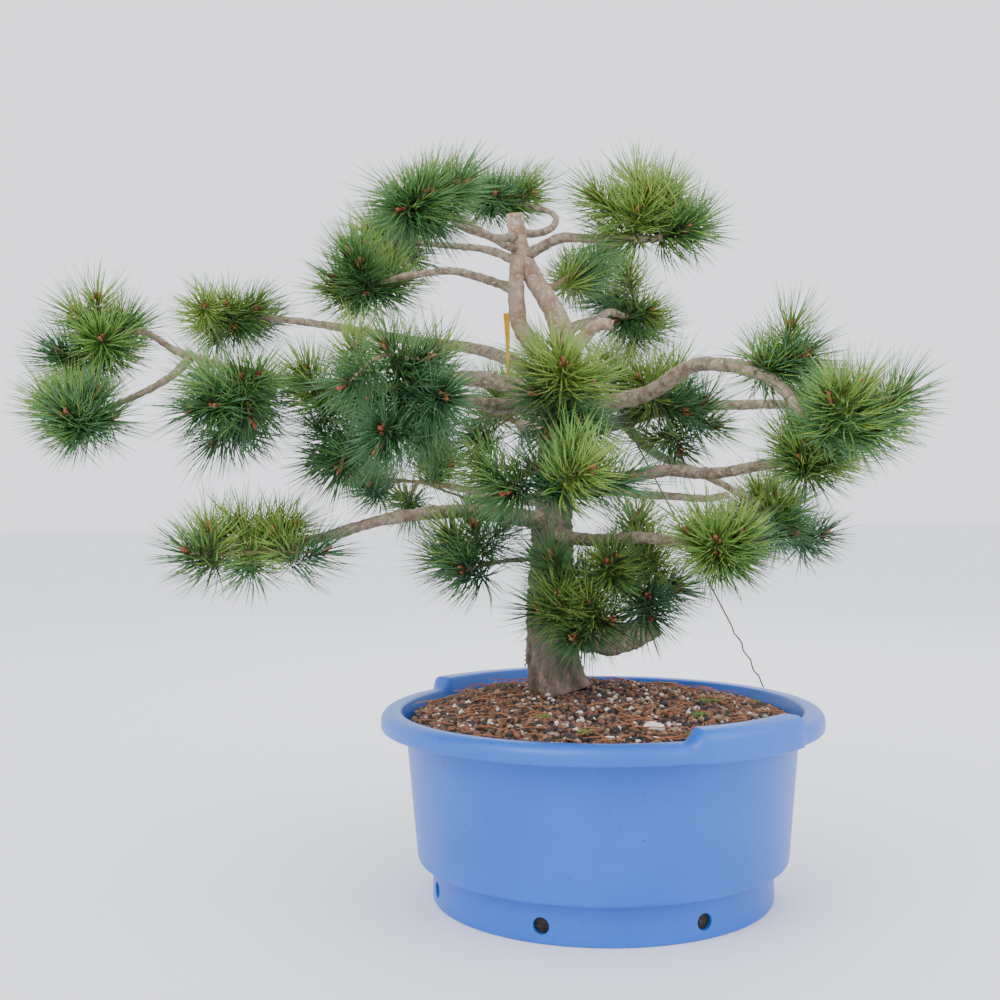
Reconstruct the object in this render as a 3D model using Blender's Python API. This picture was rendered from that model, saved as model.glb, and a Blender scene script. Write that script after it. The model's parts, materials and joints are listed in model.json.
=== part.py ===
"""Potted Scots pine bonsai: a round tub with two handles, its soil, the trunk, the boughs and the needles.

Every part is one closed solid. Lengths are metres, +Z is up, and the origin is the centre of the tub's
flat underside. Headings are degrees in plan, counted from +X towards +Y.
"""
import math
import random
from collections import namedtuple

import bmesh
import bpy
from mathutils import Vector
from mathutils.bvhtree import BVHTree

# Clearance between neighbours that touch
GAP = 0.0003

# Points nearer than this count as one
WELD = 0.0000012

# Tub
TUB_SIDES = 40
TUB_TURN = math.radians(3.75)
RIM_RADIUS = 0.225
RIM_HEIGHT = 0.192
LIP_DEPTH = 0.0185
MOUTH_RADIUS = 0.2036
BODY_TOP_RADIUS = 0.200
BODY_FOOT_RADIUS = 0.1888
FOOT_RADIUS = 0.1735
FOOT_HEIGHT = 0.040
WALL = 0.004
HANDLE_HEADINGS = (305.25, 125.25)
HANDLE_HALF_ANGLE = 14.0
HANDLE_RISE = 0.012
HANDLE_PROUD = 0.004
DRAIN_COUNT = 7
DRAIN_FIRST_HEADING = 247.0
DRAIN_RADIUS = 0.008
DRAIN_HEIGHT = 0.017

# Soil, mounded up to the trunk's foot
SOIL_EDGE_HEIGHT = 0.179
SOIL_CREST_HEIGHT = 0.1997
SOIL_CREST_RADIUS = 0.046
SOIL_RINGS = 3

# Trunk
TRUNK_FOOT = Vector((-0.0385, 0.045, SOIL_CREST_HEIGHT + GAP))
TRUNK_SIDES = 12
TRUNK_TAPER_POWER = 1.6
ROOT_FLARE = 0.0065
ROOT_FLARE_HEIGHT = 0.020
ROOT_LOBES = 5

# Boughs and twigs
BOUGH_SIDES = 5
BOUGH_STEP = 0.040
CROOK = 0.010
TWIG_SIDES = 3
TWIG_STEPS = 3
TWIG_RADIUS = 0.0020
TWIG_TIP_RADIUS = 0.0014
FORK_SPACING = 0.037

# Sprays of needles, each a slim core that larger needles stand out of
NEEDLE_LENGTH = 0.041
CORE_RADIUS = 0.0080
CORE_HALF_LENGTH = 0.017
NEEDLE_FORWARD = 0.40
SHOOT_LIFT = 0.45
SHORTEST_NEEDLE = 0.4
KIN_MARGIN = 0.94
CORE_SIDES = 5
CANDIDATES = 6

Limb = namedtuple(
    "Limb", "name parent at heading reach rise arch kink sway twist radius tip_radius")

# A limb leaves its parent at a fraction of the parent's length. It reaches out level and rises by the
# sizes given, arches and kinks in the upright plane, and sways and twists to the side.
LIMBS = (
    Limb("trunk", None, 0, -76, 0.010, 0.326, 0.013, 0.0, -0.008, -0.002, 0.0270, 0.0115),
    Limb("right_leader", "trunk", 1.0, -174, 0.047, 0.176, 0.005, 0.008, 0.014, 0.006, 0.0120, 0.0095),
    Limb("left_leader", "trunk", 1.0, -163, 0.046, 0.129, -0.019, 0.004, -0.003, -0.006, 0.0105, 0.0080),
    Limb("low_right_stub", "trunk", 0.17, 22, 0.126, 0.010, -0.008, 0.007, 0.003, -0.005, 0.0185, 0.0150),
    Limb("leader_stub", "right_leader", 0.2, -7, 0.051, 0.019, 0.002, -0.005, 0.001, 0.002, 0.0075, 0.0060),
    Limb("right_cut_branch", "trunk", 0.63, 20, 0.209, 0.000, 0.002, 0.004, 0.002, 0.001, 0.0055, 0.0040),
    Limb("bare_cut_twig", "right_leader", 0.8, -140, 0.106, 0.028, -0.006, -0.003, 0.009, 0.002,
         0.0040, 0.0030),
    Limb("right_arching_bough", "trunk", 0.92, -44, 0.229, 0.028, 0.005, -0.008, 0.029, 0.008,
         0.0095, 0.0065),
    Limb("right_arching_tip", "right_arching_bough", 1.0, -56, 0.079, -0.049, 0.006, 0.0, 0.006, 0.0,
         0.0060, 0.0045),
    Limb("right_back_bough", "trunk", 0.82, 25, 0.346, 0.044, 0.013, 0.0, 0.022, 0.004, 0.0100, 0.0045),
    Limb("right_drooping_bough", "right_back_bough", 0.28, 16, 0.173, -0.100, -0.007, -0.005, 0.002, 0.002,
         0.0055, 0.0035),
    Limb("right_middle_bough", "trunk", 0.7, -35, 0.258, 0.009, -0.005, 0.0, 0.006, 0.002, 0.0085, 0.0050),
    Limb("right_low_bough", "trunk", 0.53, -50, 0.198, -0.011, -0.004, -0.004, -0.016, -0.005,
         0.0080, 0.0050),
    Limb("left_low_bough", "trunk", 0.55, -157, 0.284, -0.018, 0.020, 0.001, 0.004, 0.004, 0.0095, 0.0045),
    Limb("left_front_bough", "trunk", 0.92, -121, 0.186, -0.001, -0.001, 0.002, -0.003, -0.001,
         0.0095, 0.0060),
    Limb("left_long_bough", "trunk", 0.95, -174, 0.378, 0.044, -0.006, 0.013, -0.024, -0.011,
         0.0095, 0.0050),
    Limb("far_left_upper_bough", "left_long_bough", 1.0, -168, 0.061, 0.026, 0.002, -0.002, -0.004, -0.003,
         0.0045, 0.0030),
    Limb("far_left_lower_bough", "left_long_bough", 1.0, -154, 0.087, -0.055, -0.007, -0.001, 0.003, -0.002,
         0.0045, 0.0030),
    Limb("left_back_bough", "trunk", 0.97, 155, 0.390, 0.105, 0.019, 0.006, -0.053, -0.006, 0.0080, 0.0040),
    Limb("upper_left_bough", "left_leader", 0.77, 159, 0.146, 0.020, 0.014, 0.0, 0.002, 0.001,
         0.0050, 0.0035),
    Limb("upper_left_back_bough", "left_leader", 0.98, 137, 0.174, 0.045, 0.004, 0.002, -0.012, -0.002,
         0.0050, 0.0030),
    Limb("top_left_bough", "right_leader", 0.87, -125, 0.139, 0.012, -0.014, 0.001, 0.004, 0.0,
         0.0050, 0.0030),
    Limb("top_back_bough", "right_leader", 0.9, 94, 0.136, 0.062, -0.008, -0.003, -0.051, 0.005,
         0.0045, 0.0030),
    Limb("top_right_bough", "right_leader", 0.75, -33, 0.162, 0.003, 0.010, 0.004, -0.005, 0.0,
         0.0060, 0.0035),
    Limb("front_bough", "trunk", 0.73, -92, 0.176, -0.009, 0.002, 0.0, 0.0, -0.001, 0.0080, 0.0050),
    Limb("back_bough", "trunk", 0.77, 99, 0.217, 0.043, 0.006, 0.0, -0.004, -0.001, 0.0090, 0.0050),
    Limb("back_right_bough", "right_leader", 0.3, 66, 0.232, 0.036, 0.004, -0.005, 0.003, 0.0,
         0.0060, 0.0035),
    Limb("back_left_bough", "trunk", 0.62, 120, 0.231, 0.015, -0.003, 0.0, -0.009, 0.001, 0.0080, 0.0045),
)

Mass = namedtuple("Mass", "name limb at heading pitch out long wide high shoots seed")

# A mass of needles keeps to an egg-shaped space, out from its limb along a heading and a pitch, with a
# length, a width and a height. Its shoots and their places follow from the count and the seed.
MASSES = (
    Mass("far_left_upper_needles", "far_left_upper_bough", 1, -180, -10, 0.040, 0.080, 0.100, 0.060, 4, 2256),
    Mass("far_left_lower_needles", "far_left_lower_bough", 1, -155, -5, 0.035, 0.050, 0.100, 0.040, 4, 2374),
    Mass("left_long_outer_needles", "left_long_bough", 0.8, -100, -20, 0.115, 0.070, 0.075, 0.080, 4, 125),
    Mass("left_long_inner_needles", "left_long_bough", 0.52, -100, -15, 0.090, 0.080, 0.085, 0.140, 5, 2088),
    Mass("left_front_needles", "left_front_bough", 1, -120, 0, 0.100, 0.140, 0.090, 0.110, 5, 373),
    Mass("left_back_needles", "left_back_bough", 1, 150, 0, 0.035, 0.100, 0.130, 0.070, 4, 1493),
    Mass("left_low_needles", "left_low_bough", 1, -155, 0, 0.035, 0.145, 0.150, 0.045, 4, 67),
    Mass("low_left_needles", "trunk", 0.42, -140, 10, 0.125, 0.030, 0.080, 0.060, 3, 1524),
    Mass("front_needles", "front_bough", 1, -95, 0, 0.040, 0.100, 0.150, 0.045, 4, 1878),
    Mass("fork_front_needles", "trunk", 0.94, -90, 0, 0.140, 0.045, 0.065, 0.095, 4, 369),
    Mass("low_front_needles", "trunk", 0.3, -80, 5, 0.105, 0.050, 0.090, 0.085, 4, 452),
    Mass("low_right_needles", "trunk", 0.38, -35, 5, 0.110, 0.050, 0.130, 0.110, 4, 717),
    Mass("right_low_needles", "right_low_bough", 1, -35, 5, 0.040, 0.035, 0.070, 0.040, 4, 379),
    Mass("right_drooping_needles", "right_drooping_bough", 1, 20, -30, 0.030, 0.105, 0.075, 0.055, 4, 2176),
    Mass("right_middle_needles", "right_middle_bough", 1, -20, 20, 0.040, 0.060, 0.060, 0.045, 4, 995),
    Mass("right_arching_needles", "right_arching_tip", 1, -10, 10, 0.055, 0.070, 0.055, 0.045, 4, 2092),
    Mass("right_crest_needles", "right_arching_bough", 0.97, -25, 5, 0.060, 0.030, 0.030, 0.030, 2, 1243),
    Mass("right_back_needles", "right_back_bough", 1, 50, -5, 0.030, 0.080, 0.060, 0.060, 4, 721),
    Mass("right_inner_needles", "right_back_bough", 0.45, -95, 10, 0.060, 0.085, 0.155, 0.130, 5, 965),
    Mass("back_right_needles", "back_right_bough", 1, 110, 40, 0.015, 0.095, 0.080, 0.105, 4, 1217),
    Mass("leader_right_needles", "right_leader", 0.52, 55, 25, 0.090, 0.050, 0.030, 0.030, 2, 2373),
    Mass("top_left_needles", "top_left_bough", 1, -110, -10, 0.020, 0.080, 0.095, 0.040, 4, 461),
    Mass("top_back_needles", "top_back_bough", 1, -80, 90, 0.010, 0.030, 0.085, 0.090, 4, 107),
    Mass("top_right_needles", "top_right_bough", 0.75, 10, 45, 0.045, 0.115, 0.135, 0.130, 5, 1184),
    Mass("upper_left_needles", "upper_left_bough", 1, 150, 0, 0.030, 0.095, 0.120, 0.060, 4, 677),
    Mass("upper_left_back_needles", "upper_left_back_bough", 1, 130, 0, 0.025, 0.080, 0.110, 0.060, 4, 1997),
    Mass("back_needles", "back_bough", 1, 99, 12, 0.060, 0.140, 0.240, 0.120, 5, 387),
    Mass("back_left_needles", "back_left_bough", 1, 122, 5, 0.060, 0.130, 0.220, 0.100, 4, 93),
)

# Guy wires, from the limb they are tied to down to the tub's rim
WIRE_RADIUS = 0.0008
WIRE_SIDES = 6
WIRE_RIM_RADIUS = 0.2146


def clear_scene():
    """Remove what the scene holds."""
    for item in list(bpy.data.objects):
        bpy.data.objects.remove(item)


def make_material(name, colour, roughness, metallic=0.0):
    """A plain surface of one colour."""
    material = bpy.data.materials.new(name)
    material.use_nodes = True
    shader = material.node_tree.nodes["Principled BSDF"]
    shader.inputs["Base Color"].default_value = (*colour, 1.0)
    shader.inputs["Roughness"].default_value = roughness
    shader.inputs["Metallic"].default_value = metallic
    material.diffuse_color = (*colour, 1.0)
    return material


def add_object(name, bm, material=None):
    """Turn a bmesh into a named object."""
    mesh = bpy.data.meshes.new(name)
    bm.to_mesh(mesh)
    bm.free()
    item = bpy.data.objects.new(name, mesh)
    bpy.context.collection.objects.link(item)
    if material:
        mesh.materials.append(material)
    return item


def apply_modifiers(item):
    """Bake an object's modifiers into its mesh."""
    evaluated = item.evaluated_get(bpy.context.evaluated_depsgraph_get())
    mesh = bpy.data.meshes.new_from_object(evaluated)
    item.modifiers.clear()
    item.data = mesh


def cut(item, cutter):
    """Take the cutter's shape out of an object, and remove the cutter."""
    modifier = item.modifiers.new("cut", "BOOLEAN")
    modifier.operation = "DIFFERENCE"
    modifier.object = cutter
    apply_modifiers(item)
    bpy.data.objects.remove(cutter)


def keep_main_shell(item):
    """Keep an object's widest shell: loose scraps are dropped, and sealed hollows filled."""
    bm = bmesh.new()
    bm.from_mesh(item.data)
    loose = set(bm.verts)
    shells = []
    while loose:
        front = [loose.pop()]
        shell = list(front)
        while front:
            vertex = front.pop()
            for edge in vertex.link_edges:
                other = edge.other_vert(vertex)
                if other in loose:
                    loose.remove(other)
                    front.append(other)
                    shell.append(other)
        shells.append(shell)
    if not shells:
        return
    shells.sort(key=shell_spread)
    for shell in shells[:-1]:
        bmesh.ops.delete(bm, geom=shell, context="VERTS")
    bm.to_mesh(item.data)
    bm.free()


def shell_spread(shell):
    """Diagonal of the box round a shell's vertices."""
    low = [min(vertex.co[i] for vertex in shell) for i in range(3)]
    high = [max(vertex.co[i] for vertex in shell) for i in range(3)]
    return (Vector(high) - Vector(low)).length


def turned(profile, sides, turn):
    """Solid of revolution about Z from a profile of (radius, height) that starts and ends on the axis."""
    bm = bmesh.new()
    line = [bm.verts.new((radius * math.cos(turn), radius * math.sin(turn), height))
            for radius, height in profile]
    edges = [bm.edges.new(pair) for pair in zip(line, line[1:])]
    bmesh.ops.spin(bm, geom=line + edges, cent=(0, 0, 0), axis=(0, 0, 1), angle=math.tau,
                   steps=sides, use_merge=True)
    bmesh.ops.remove_doubles(bm, verts=bm.verts, dist=1e-6)
    bmesh.ops.recalc_face_normals(bm, faces=bm.faces)
    return bm


def inner_wall_radius(height):
    """Radius of the tub's inner face, between the step above the foot and the mouth."""
    low, high = FOOT_HEIGHT + 2 * WALL, RIM_HEIGHT - LIP_DEPTH
    share = (height - low) / (high - low)
    return BODY_FOOT_RADIUS - WALL + share * (BODY_TOP_RADIUS - BODY_FOOT_RADIUS)


def tub_profile():
    """Outline of the tub's wall: the foot, its step, the body and the turned-down lip, and back inside."""
    lip_low = RIM_HEIGHT - LIP_DEPTH
    lip_width = RIM_RADIUS - MOUTH_RADIUS
    return [
        (0, 0),
        (FOOT_RADIUS - 0.002, 0),
        (FOOT_RADIUS, 0.002),
        (FOOT_RADIUS, FOOT_HEIGHT),
        (BODY_FOOT_RADIUS - 0.003, FOOT_HEIGHT + 0.0005),
        (BODY_FOOT_RADIUS, FOOT_HEIGHT + 0.004),
        (BODY_TOP_RADIUS, lip_low),
        (RIM_RADIUS - 0.003, lip_low),
        (RIM_RADIUS, lip_low + 0.004),
        (RIM_RADIUS - 0.15 * lip_width, RIM_HEIGHT - 0.004),
        (RIM_RADIUS - 0.45 * lip_width, RIM_HEIGHT),
        (MOUTH_RADIUS + 0.15 * lip_width, RIM_HEIGHT - 0.002),
        (MOUTH_RADIUS - 0.001, RIM_HEIGHT - 0.008),
        (inner_wall_radius(lip_low), lip_low),
        (inner_wall_radius(FOOT_HEIGHT + 2 * WALL), FOOT_HEIGHT + 2 * WALL),
        (FOOT_RADIUS - WALL, FOOT_HEIGHT + WALL),
        (FOOT_RADIUS - WALL, WALL),
        (0, WALL),
    ]


def heading_of(point):
    """Heading of a point seen from the tub's axis, in degrees."""
    return math.degrees(math.atan2(point.y, point.x))


def angle_between(first, second):
    """Smallest angle between two headings, in degrees."""
    return abs((first - second + 180) % 360 - 180)


def build_tub(material):
    """The blue tub, with two raised handles on its lip and drain holes round its foot."""
    bm = turned(tub_profile(), TUB_SIDES, TUB_TURN)
    for vertex in bm.verts:
        radius = math.hypot(vertex.co.x, vertex.co.y)
        on_handle = any(angle_between(heading_of(vertex.co), heading) < HANDLE_HALF_ANGLE
                        for heading in HANDLE_HEADINGS)
        if not on_handle or radius < MOUTH_RADIUS - 0.002 or vertex.co.z < RIM_HEIGHT - LIP_DEPTH:
            continue
        if vertex.co.z > RIM_HEIGHT - 0.006:
            vertex.co.z += HANDLE_RISE
        if radius > RIM_RADIUS - 0.005:
            vertex.co.x += HANDLE_PROUD * vertex.co.x / radius
            vertex.co.y += HANDLE_PROUD * vertex.co.y / radius
    tub = add_object("tub", bm, material)
    for number in range(DRAIN_COUNT):
        heading = math.radians(DRAIN_FIRST_HEADING + number * 360 / DRAIN_COUNT)
        outward = Vector((math.cos(heading), math.sin(heading), 0))
        middle = outward * FOOT_RADIUS + Vector((0, 0, DRAIN_HEIGHT))
        ends = [middle - outward * 0.02, middle + outward * 0.02]
        cutter = add_object("drain", tube(ends, [DRAIN_RADIUS, DRAIN_RADIUS], 10))
        cut(tub, cutter)
    return tub


def build_soil(material):
    """The soil, which fills the tub and rises to the trunk's foot."""
    wall_low = FOOT_HEIGHT + 2 * WALL
    edge_radius = inner_wall_radius(SOIL_EDGE_HEIGHT) - GAP
    profile = [
        (0, WALL + GAP),
        (FOOT_RADIUS - WALL - GAP, WALL + GAP),
        (FOOT_RADIUS - WALL - GAP, FOOT_HEIGHT + WALL + GAP),
        (inner_wall_radius(wall_low) - GAP, wall_low + GAP),
        (inner_wall_radius(RIM_HEIGHT - LIP_DEPTH) - GAP, RIM_HEIGHT - LIP_DEPTH),
        (edge_radius, SOIL_EDGE_HEIGHT),
    ]
    for ring in range(1, SOIL_RINGS + 1):
        share = ring / SOIL_RINGS
        profile.append((edge_radius + (SOIL_CREST_RADIUS - edge_radius) * share, SOIL_EDGE_HEIGHT + share))
    profile.append((0, SOIL_EDGE_HEIGHT + 1 + 1 / SOIL_RINGS))
    bm = turned(profile, TUB_SIDES, TUB_TURN)
    for vertex in bm.verts:
        share = vertex.co.z - SOIL_EDGE_HEIGHT
        if share < 0.01:
            continue
        share = min(share, 1)
        vertex.co.x += TRUNK_FOOT.x * share
        vertex.co.y += TRUNK_FOOT.y * share
        rise = 1 - (1 - share) ** 2
        vertex.co.z = SOIL_EDGE_HEIGHT + (SOIL_CREST_HEIGHT - SOIL_EDGE_HEIGHT) * rise
    return add_object("soil", bm, material)


def tube(points, radii, sides):
    """Closed tapering tube along a route, with flat ends square to it."""
    return ringed(points, lambda step, turn: radii[step], sides)


def ringed(points, radius_at, sides):
    """Closed skin of rings square to a route, with a radius for each step and each turn round it."""
    bm = bmesh.new()
    count = len(points)
    along = (points[1] - points[0]).normalized()
    across = along.orthogonal().normalized()
    rings = []
    for step, point in enumerate(points):
        along = (points[min(step + 1, count - 1)] - points[max(step - 1, 0)]).normalized()
        across = (across - along * across.dot(along)).normalized()
        other = along.cross(across)
        ring = []
        for side in range(sides):
            turn = math.tau * side / sides
            spoke = across * math.cos(turn) + other * math.sin(turn)
            ring.append(bm.verts.new(point + spoke * radius_at(step, turn)))
        rings.append(ring)
    for lower, upper in zip(rings, rings[1:]):
        for side in range(sides):
            after = (side + 1) % sides
            bm.faces.new((lower[side], lower[after], upper[after], upper[side]))
    bm.faces.new(list(reversed(rings[0])))
    bm.faces.new(rings[-1])
    return bm


def limb_point(limb, start, share):
    """Point on a limb's middle line, a share of the way from its start to its tip."""
    heading = math.radians(limb.heading)
    span = math.hypot(limb.reach, limb.rise)
    chord = Vector((math.cos(heading) * limb.reach, math.sin(heading) * limb.reach, limb.rise)) / span
    upward = Vector((-math.cos(heading) * limb.rise, -math.sin(heading) * limb.rise, limb.reach)) / span
    sideways = Vector((-math.sin(heading), math.cos(heading), 0))
    once = math.sin(math.pi * share)
    twice = math.sin(2 * math.pi * share)
    rng = random.Random(limb.name)
    wander = [rng.uniform(-1, 1) for _ in range(4)]
    third = math.sin(3 * math.pi * share) * CROOK * span
    fifth = math.sin(5 * math.pi * share) * CROOK * span * 0.6
    lifted = limb.arch * once + limb.kink * twice + wander[0] * third + wander[1] * fifth
    aside = limb.sway * once + limb.twist * twice + wander[2] * third + wander[3] * fifth
    return start + chord * (span * share) + upward * lifted + sideways * aside


def limb_radius(limb, share):
    """Radius of a limb, which tapers from its start to its tip."""
    power = TRUNK_TAPER_POWER if limb.parent is None else 1
    return limb.radius + (limb.tip_radius - limb.radius) * share ** power


def limb_starts():
    """Where each limb's middle line starts, on its parent's middle line."""
    starts = {}
    by_name = {limb.name: limb for limb in LIMBS}
    for limb in LIMBS:
        if limb.parent is None:
            starts[limb.name] = TRUNK_FOOT.copy()
        else:
            starts[limb.name] = limb_point(by_name[limb.parent], starts[limb.parent], limb.at)
    return starts


def limb_mesh(limb, start, swell=0.0):
    """Skin of a limb, swollen by a clearance where it is used to seat a neighbour."""
    span = math.hypot(limb.reach, limb.rise)
    steps = max(4, round(span / BOUGH_STEP))
    if limb.parent is None:
        steps *= 2
    points = [limb_point(limb, start, step / steps) for step in range(steps + 1)]
    if limb.parent is None:
        points[1].x, points[1].y = points[0].x, points[0].y
    if swell:
        points[0] = points[0] + (points[0] - points[1]).normalized() * swell
        points[-1] = points[-1] + (points[-1] - points[-2]).normalized() * swell

    def radius_at(step, turn):
        radius = limb_radius(limb, step / steps)
        if limb.parent is None:
            height = step / steps * limb.rise
            lobes = 1 + 0.5 * math.cos(ROOT_LOBES * turn)
            radius += ROOT_FLARE * lobes * math.exp(-height / ROOT_FLARE_HEIGHT)
        return radius + swell

    return ringed(points, radius_at, TRUNK_SIDES if limb.parent is None else BOUGH_SIDES)


def tree_of(item):
    """Search tree of an object's faces."""
    bm = bmesh.new()
    bm.from_mesh(item.data)
    bmesh.ops.triangulate(bm, faces=bm.faces)
    tree = BVHTree.FromBMesh(bm)
    bm.free()
    return tree


def touches(bm, trees):
    """Whether a bmesh crosses any of the search trees."""
    tree = BVHTree.FromBMesh(bm)
    return any(tree.overlap(other) for other in trees)


def build_limbs(starts, materials):
    """Trunk, leaders, boughs and stubs, each seated against the limbs made before it."""
    items = {}
    for limb in LIMBS:
        bm = limb_mesh(limb, starts[limb.name])
        if limb.parent is None:
            for vertex in bm.verts:
                if vertex.co.z < TRUNK_FOOT.z + 1e-5:
                    vertex.co.z = TRUNK_FOOT.z
        item = add_object(limb.name, bm, materials[limb.name])
        for other in LIMBS[:len(items)]:
            cutter = add_object("cutter", limb_mesh(other, starts[other.name], GAP))
            if tree_of(item).overlap(tree_of(cutter)):
                cut(item, cutter)
            else:
                bpy.data.objects.remove(cutter)
        keep_main_shell(item)
        items[limb.name] = item
    return items


def build_wires(starts, material):
    """Two guy wires: one from the leader's stub over to the rim, one from the trunk to the handle behind."""
    by_name = {limb.name: limb for limb in LIMBS}
    runs = (
        ("right_guy_wire", "leader_stub", 0.45, Vector((0.0, 0.3, -0.95)), 29.0, 0.0),
        ("left_guy_wire", "trunk", 0.36, Vector((-0.8, 0.6, 0.0)), 110.0, HANDLE_RISE),
    )
    items = {}
    for name, tied_to, share, side, heading, lift in runs:
        limb = by_name[tied_to]
        centre = limb_point(limb, starts[tied_to], share)
        top = centre + side.normalized() * (limb_radius(limb, share) + WIRE_RADIUS + GAP)
        turn = math.radians(heading)
        foot = Vector((WIRE_RIM_RADIUS * math.cos(turn), WIRE_RIM_RADIUS * math.sin(turn),
                       RIM_HEIGHT + lift + GAP + WIRE_RADIUS))
        items[name] = add_object(name, tube([top, foot], [WIRE_RADIUS] * 2, WIRE_SIDES), material)
    return items


def mass_axes(mass):
    """Directions along, across and above a mass's space."""
    heading, pitch = math.radians(mass.heading), math.radians(mass.pitch)
    along = Vector((math.cos(pitch) * math.cos(heading), math.cos(pitch) * math.sin(heading), math.sin(pitch)))
    across = Vector((-math.sin(heading), math.cos(heading), 0))
    return along, across, along.cross(across)


def shoot_tips(mass, base):
    """Places of a mass's shoots: each is the roomiest of a few places drawn near its space's skin."""
    rng = random.Random(mass.seed)
    along, across, above = mass_axes(mass)
    centre = base + along * mass.out
    tips = []
    for _ in range(mass.shoots):
        best, room = None, -1
        for _ in range(CANDIDATES):
            height = rng.uniform(-1, 1)
            turn = rng.uniform(0, math.tau)
            depth = rng.uniform(0.45, 1)
            level = math.sqrt(1 - height * height)
            place = (centre + along * (depth * level * math.cos(turn) * mass.long / 2)
                     + across * (depth * level * math.sin(turn) * mass.wide / 2)
                     + above * (depth * height * mass.high / 2))
            nearest = min([(place - tip).length for tip in tips], default=1)
            if nearest > room:
                best, room = place, nearest
        tips.append(best)
    return tips


def bend_point(start, leave, bend, tip, share):
    """Point on a twig that leaves along one direction and bends over to its tip."""
    middle = start + leave * ((tip - start).length * 0.4) + bend
    return start * (1 - share) ** 2 + middle * (2 * share * (1 - share)) + tip * share ** 2


def twig_points(start, leave, bend, tip):
    """Middle line of a twig."""
    return [bend_point(start, leave, bend, tip, step / TWIG_STEPS) for step in range(TWIG_STEPS + 1)]


def twig_mesh(points, radius, swell=0.0):
    """Three-sided tapering twig."""
    radii = [radius + (TWIG_TIP_RADIUS - radius) * step / TWIG_STEPS + swell for step in range(TWIG_STEPS + 1)]
    return tube(points, radii, TWIG_SIDES)


def bends_to_try():
    """Sideways bends that a twig tries in turn to pass its neighbours."""
    bends = [Vector((0, 0, 0))]
    for size in (0.012, 0.024):
        for turn in range(0, 360, 90):
            angle = math.radians(turn)
            bends.append(Vector((math.cos(angle), math.sin(angle), 0)) * size)
        bends.append(Vector((0, 0, size)))
        bends.append(Vector((0, 0, -size)))
    return bends


def clear_twig(start, leave, tip, radius, trees, parent_tree):
    """A twig's points on the first bend that touches nothing, or None."""
    for bend in bends_to_try():
        points = twig_points(start, leave, bend, tip)
        bm = twig_mesh(points, radius, GAP)
        blocked = touches(bm, trees)
        bm.free()
        if not blocked and parent_tree:
            outer = tube(points[2:], [radius] * len(points[2:]), TWIG_SIDES)
            blocked = touches(outer, [parent_tree])
            outer.free()
        if not blocked:
            return points
    return None


def grow_mass(mass, base, tangent, limb_trees, twig_trees):
    """Twigs of one mass: a stem to the furthest shoot, and a twig forking off it to each other one."""
    others = [tree for name, tree in limb_trees.items() if name != mass.limb] + twig_trees
    parent_tree = limb_trees[mass.limb]
    along = mass_axes(mass)[0]
    tips = sorted(shoot_tips(mass, base), key=lambda tip: -(tip - base).length)
    leave = tangent if mass.at == 1 else along
    stem = clear_twig(base, leave, tips[0], TWIG_RADIUS * 1.5, others, parent_tree)
    if stem is None:
        stem = twig_points(base, leave, Vector((0, 0, 0)), tips[0])
    twigs = [(stem, TWIG_RADIUS * 1.5)]
    length = (tips[0] - base).length
    for number, tip in enumerate(tips[1:]):
        share = min(max((tip - base).dot((tips[0] - base).normalized()) / length - 0.3, 0.2), 0.75)
        step = (share + FORK_SPACING * number) * TWIG_STEPS
        low = min(int(step), TWIG_STEPS - 1)
        leave = (stem[low + 1] - stem[low]).normalized()
        start = stem[low].lerp(stem[low + 1], step - low)
        points = clear_twig(start, leave, tip, TWIG_RADIUS, others, parent_tree)
        if points:
            twigs.append((points, TWIG_RADIUS))
    return twigs


def cell_limit(centre, reach, rivals):
    """Share of a reach from a spray's centre that stays nearer to it than to any rival spray."""
    limit = 1.0
    for rival in rivals:
        apart = rival - centre
        towards = reach.dot(apart)
        if towards > 0:
            limit = min(limit, (apart.length_squared / 2 - GAP * apart.length) / towards)
    return limit


def spray_mesh(centre, axis, rng, rivals, kin, trees, size):
    """A spindle-shaped core with a needle drawn out of each face that has room for one."""
    bm = bmesh.new()
    bmesh.ops.create_uvsphere(bm, u_segments=CORE_SIDES, v_segments=2, radius=1)
    turn = axis.to_track_quat("Z", "Y").to_matrix()
    spin = rng.uniform(0, math.tau)
    reaches = {}
    for face in bm.faces:
        outward = face.calc_center_median().normalized()
        length = NEEDLE_LENGTH * rng.uniform(0.85, 1.1)
        reaches[face] = (Vector((outward.x, outward.y, outward.z + NEEDLE_FORWARD)).normalized(), length)
    for vertex in bm.verts:
        shape = Vector((vertex.co.x * CORE_RADIUS, vertex.co.y * CORE_RADIUS, vertex.co.z * CORE_HALF_LENGTH))
        vertex.co = centre + turn @ spun(shape * size, spin)
    if any(cell_limit(centre, vertex.co - centre, rivals) < 1 for vertex in bm.verts) or touches(bm, trees):
        bm.free()
        return None
    for face, (outward, length) in reaches.items():
        root = face.calc_center_median()
        reach = root + (turn @ spun(outward, spin)) * length - centre
        share = min(cell_limit(centre, reach, rivals), cell_limit(centre, reach, kin) * KIN_MARGIN)
        apex = centre + reach * share
        if (apex - root).length < SHORTEST_NEEDLE * length or needle_blocked(face, apex, trees):
            continue
        bmesh.ops.poke(bm, faces=[face])["verts"][0].co = apex
    return bm


def spun(point, angle):
    """A point turned about Z."""
    return Vector((point.x * math.cos(angle) - point.y * math.sin(angle),
                   point.x * math.sin(angle) + point.y * math.cos(angle), point.z))


def needle_blocked(face, apex, trees):
    """Whether a needle drawn from a face to an apex would touch a limb or a strange twig."""
    bm = bmesh.new()
    corners = [bm.verts.new(vertex.co) for vertex in face.verts]
    tip = bm.verts.new(apex)
    for first, second in ((0, 1), (1, 2), (2, 0)):
        bm.faces.new((corners[first], corners[second], tip))
    blocked = touches(bm, trees)
    bm.free()
    return blocked


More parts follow.
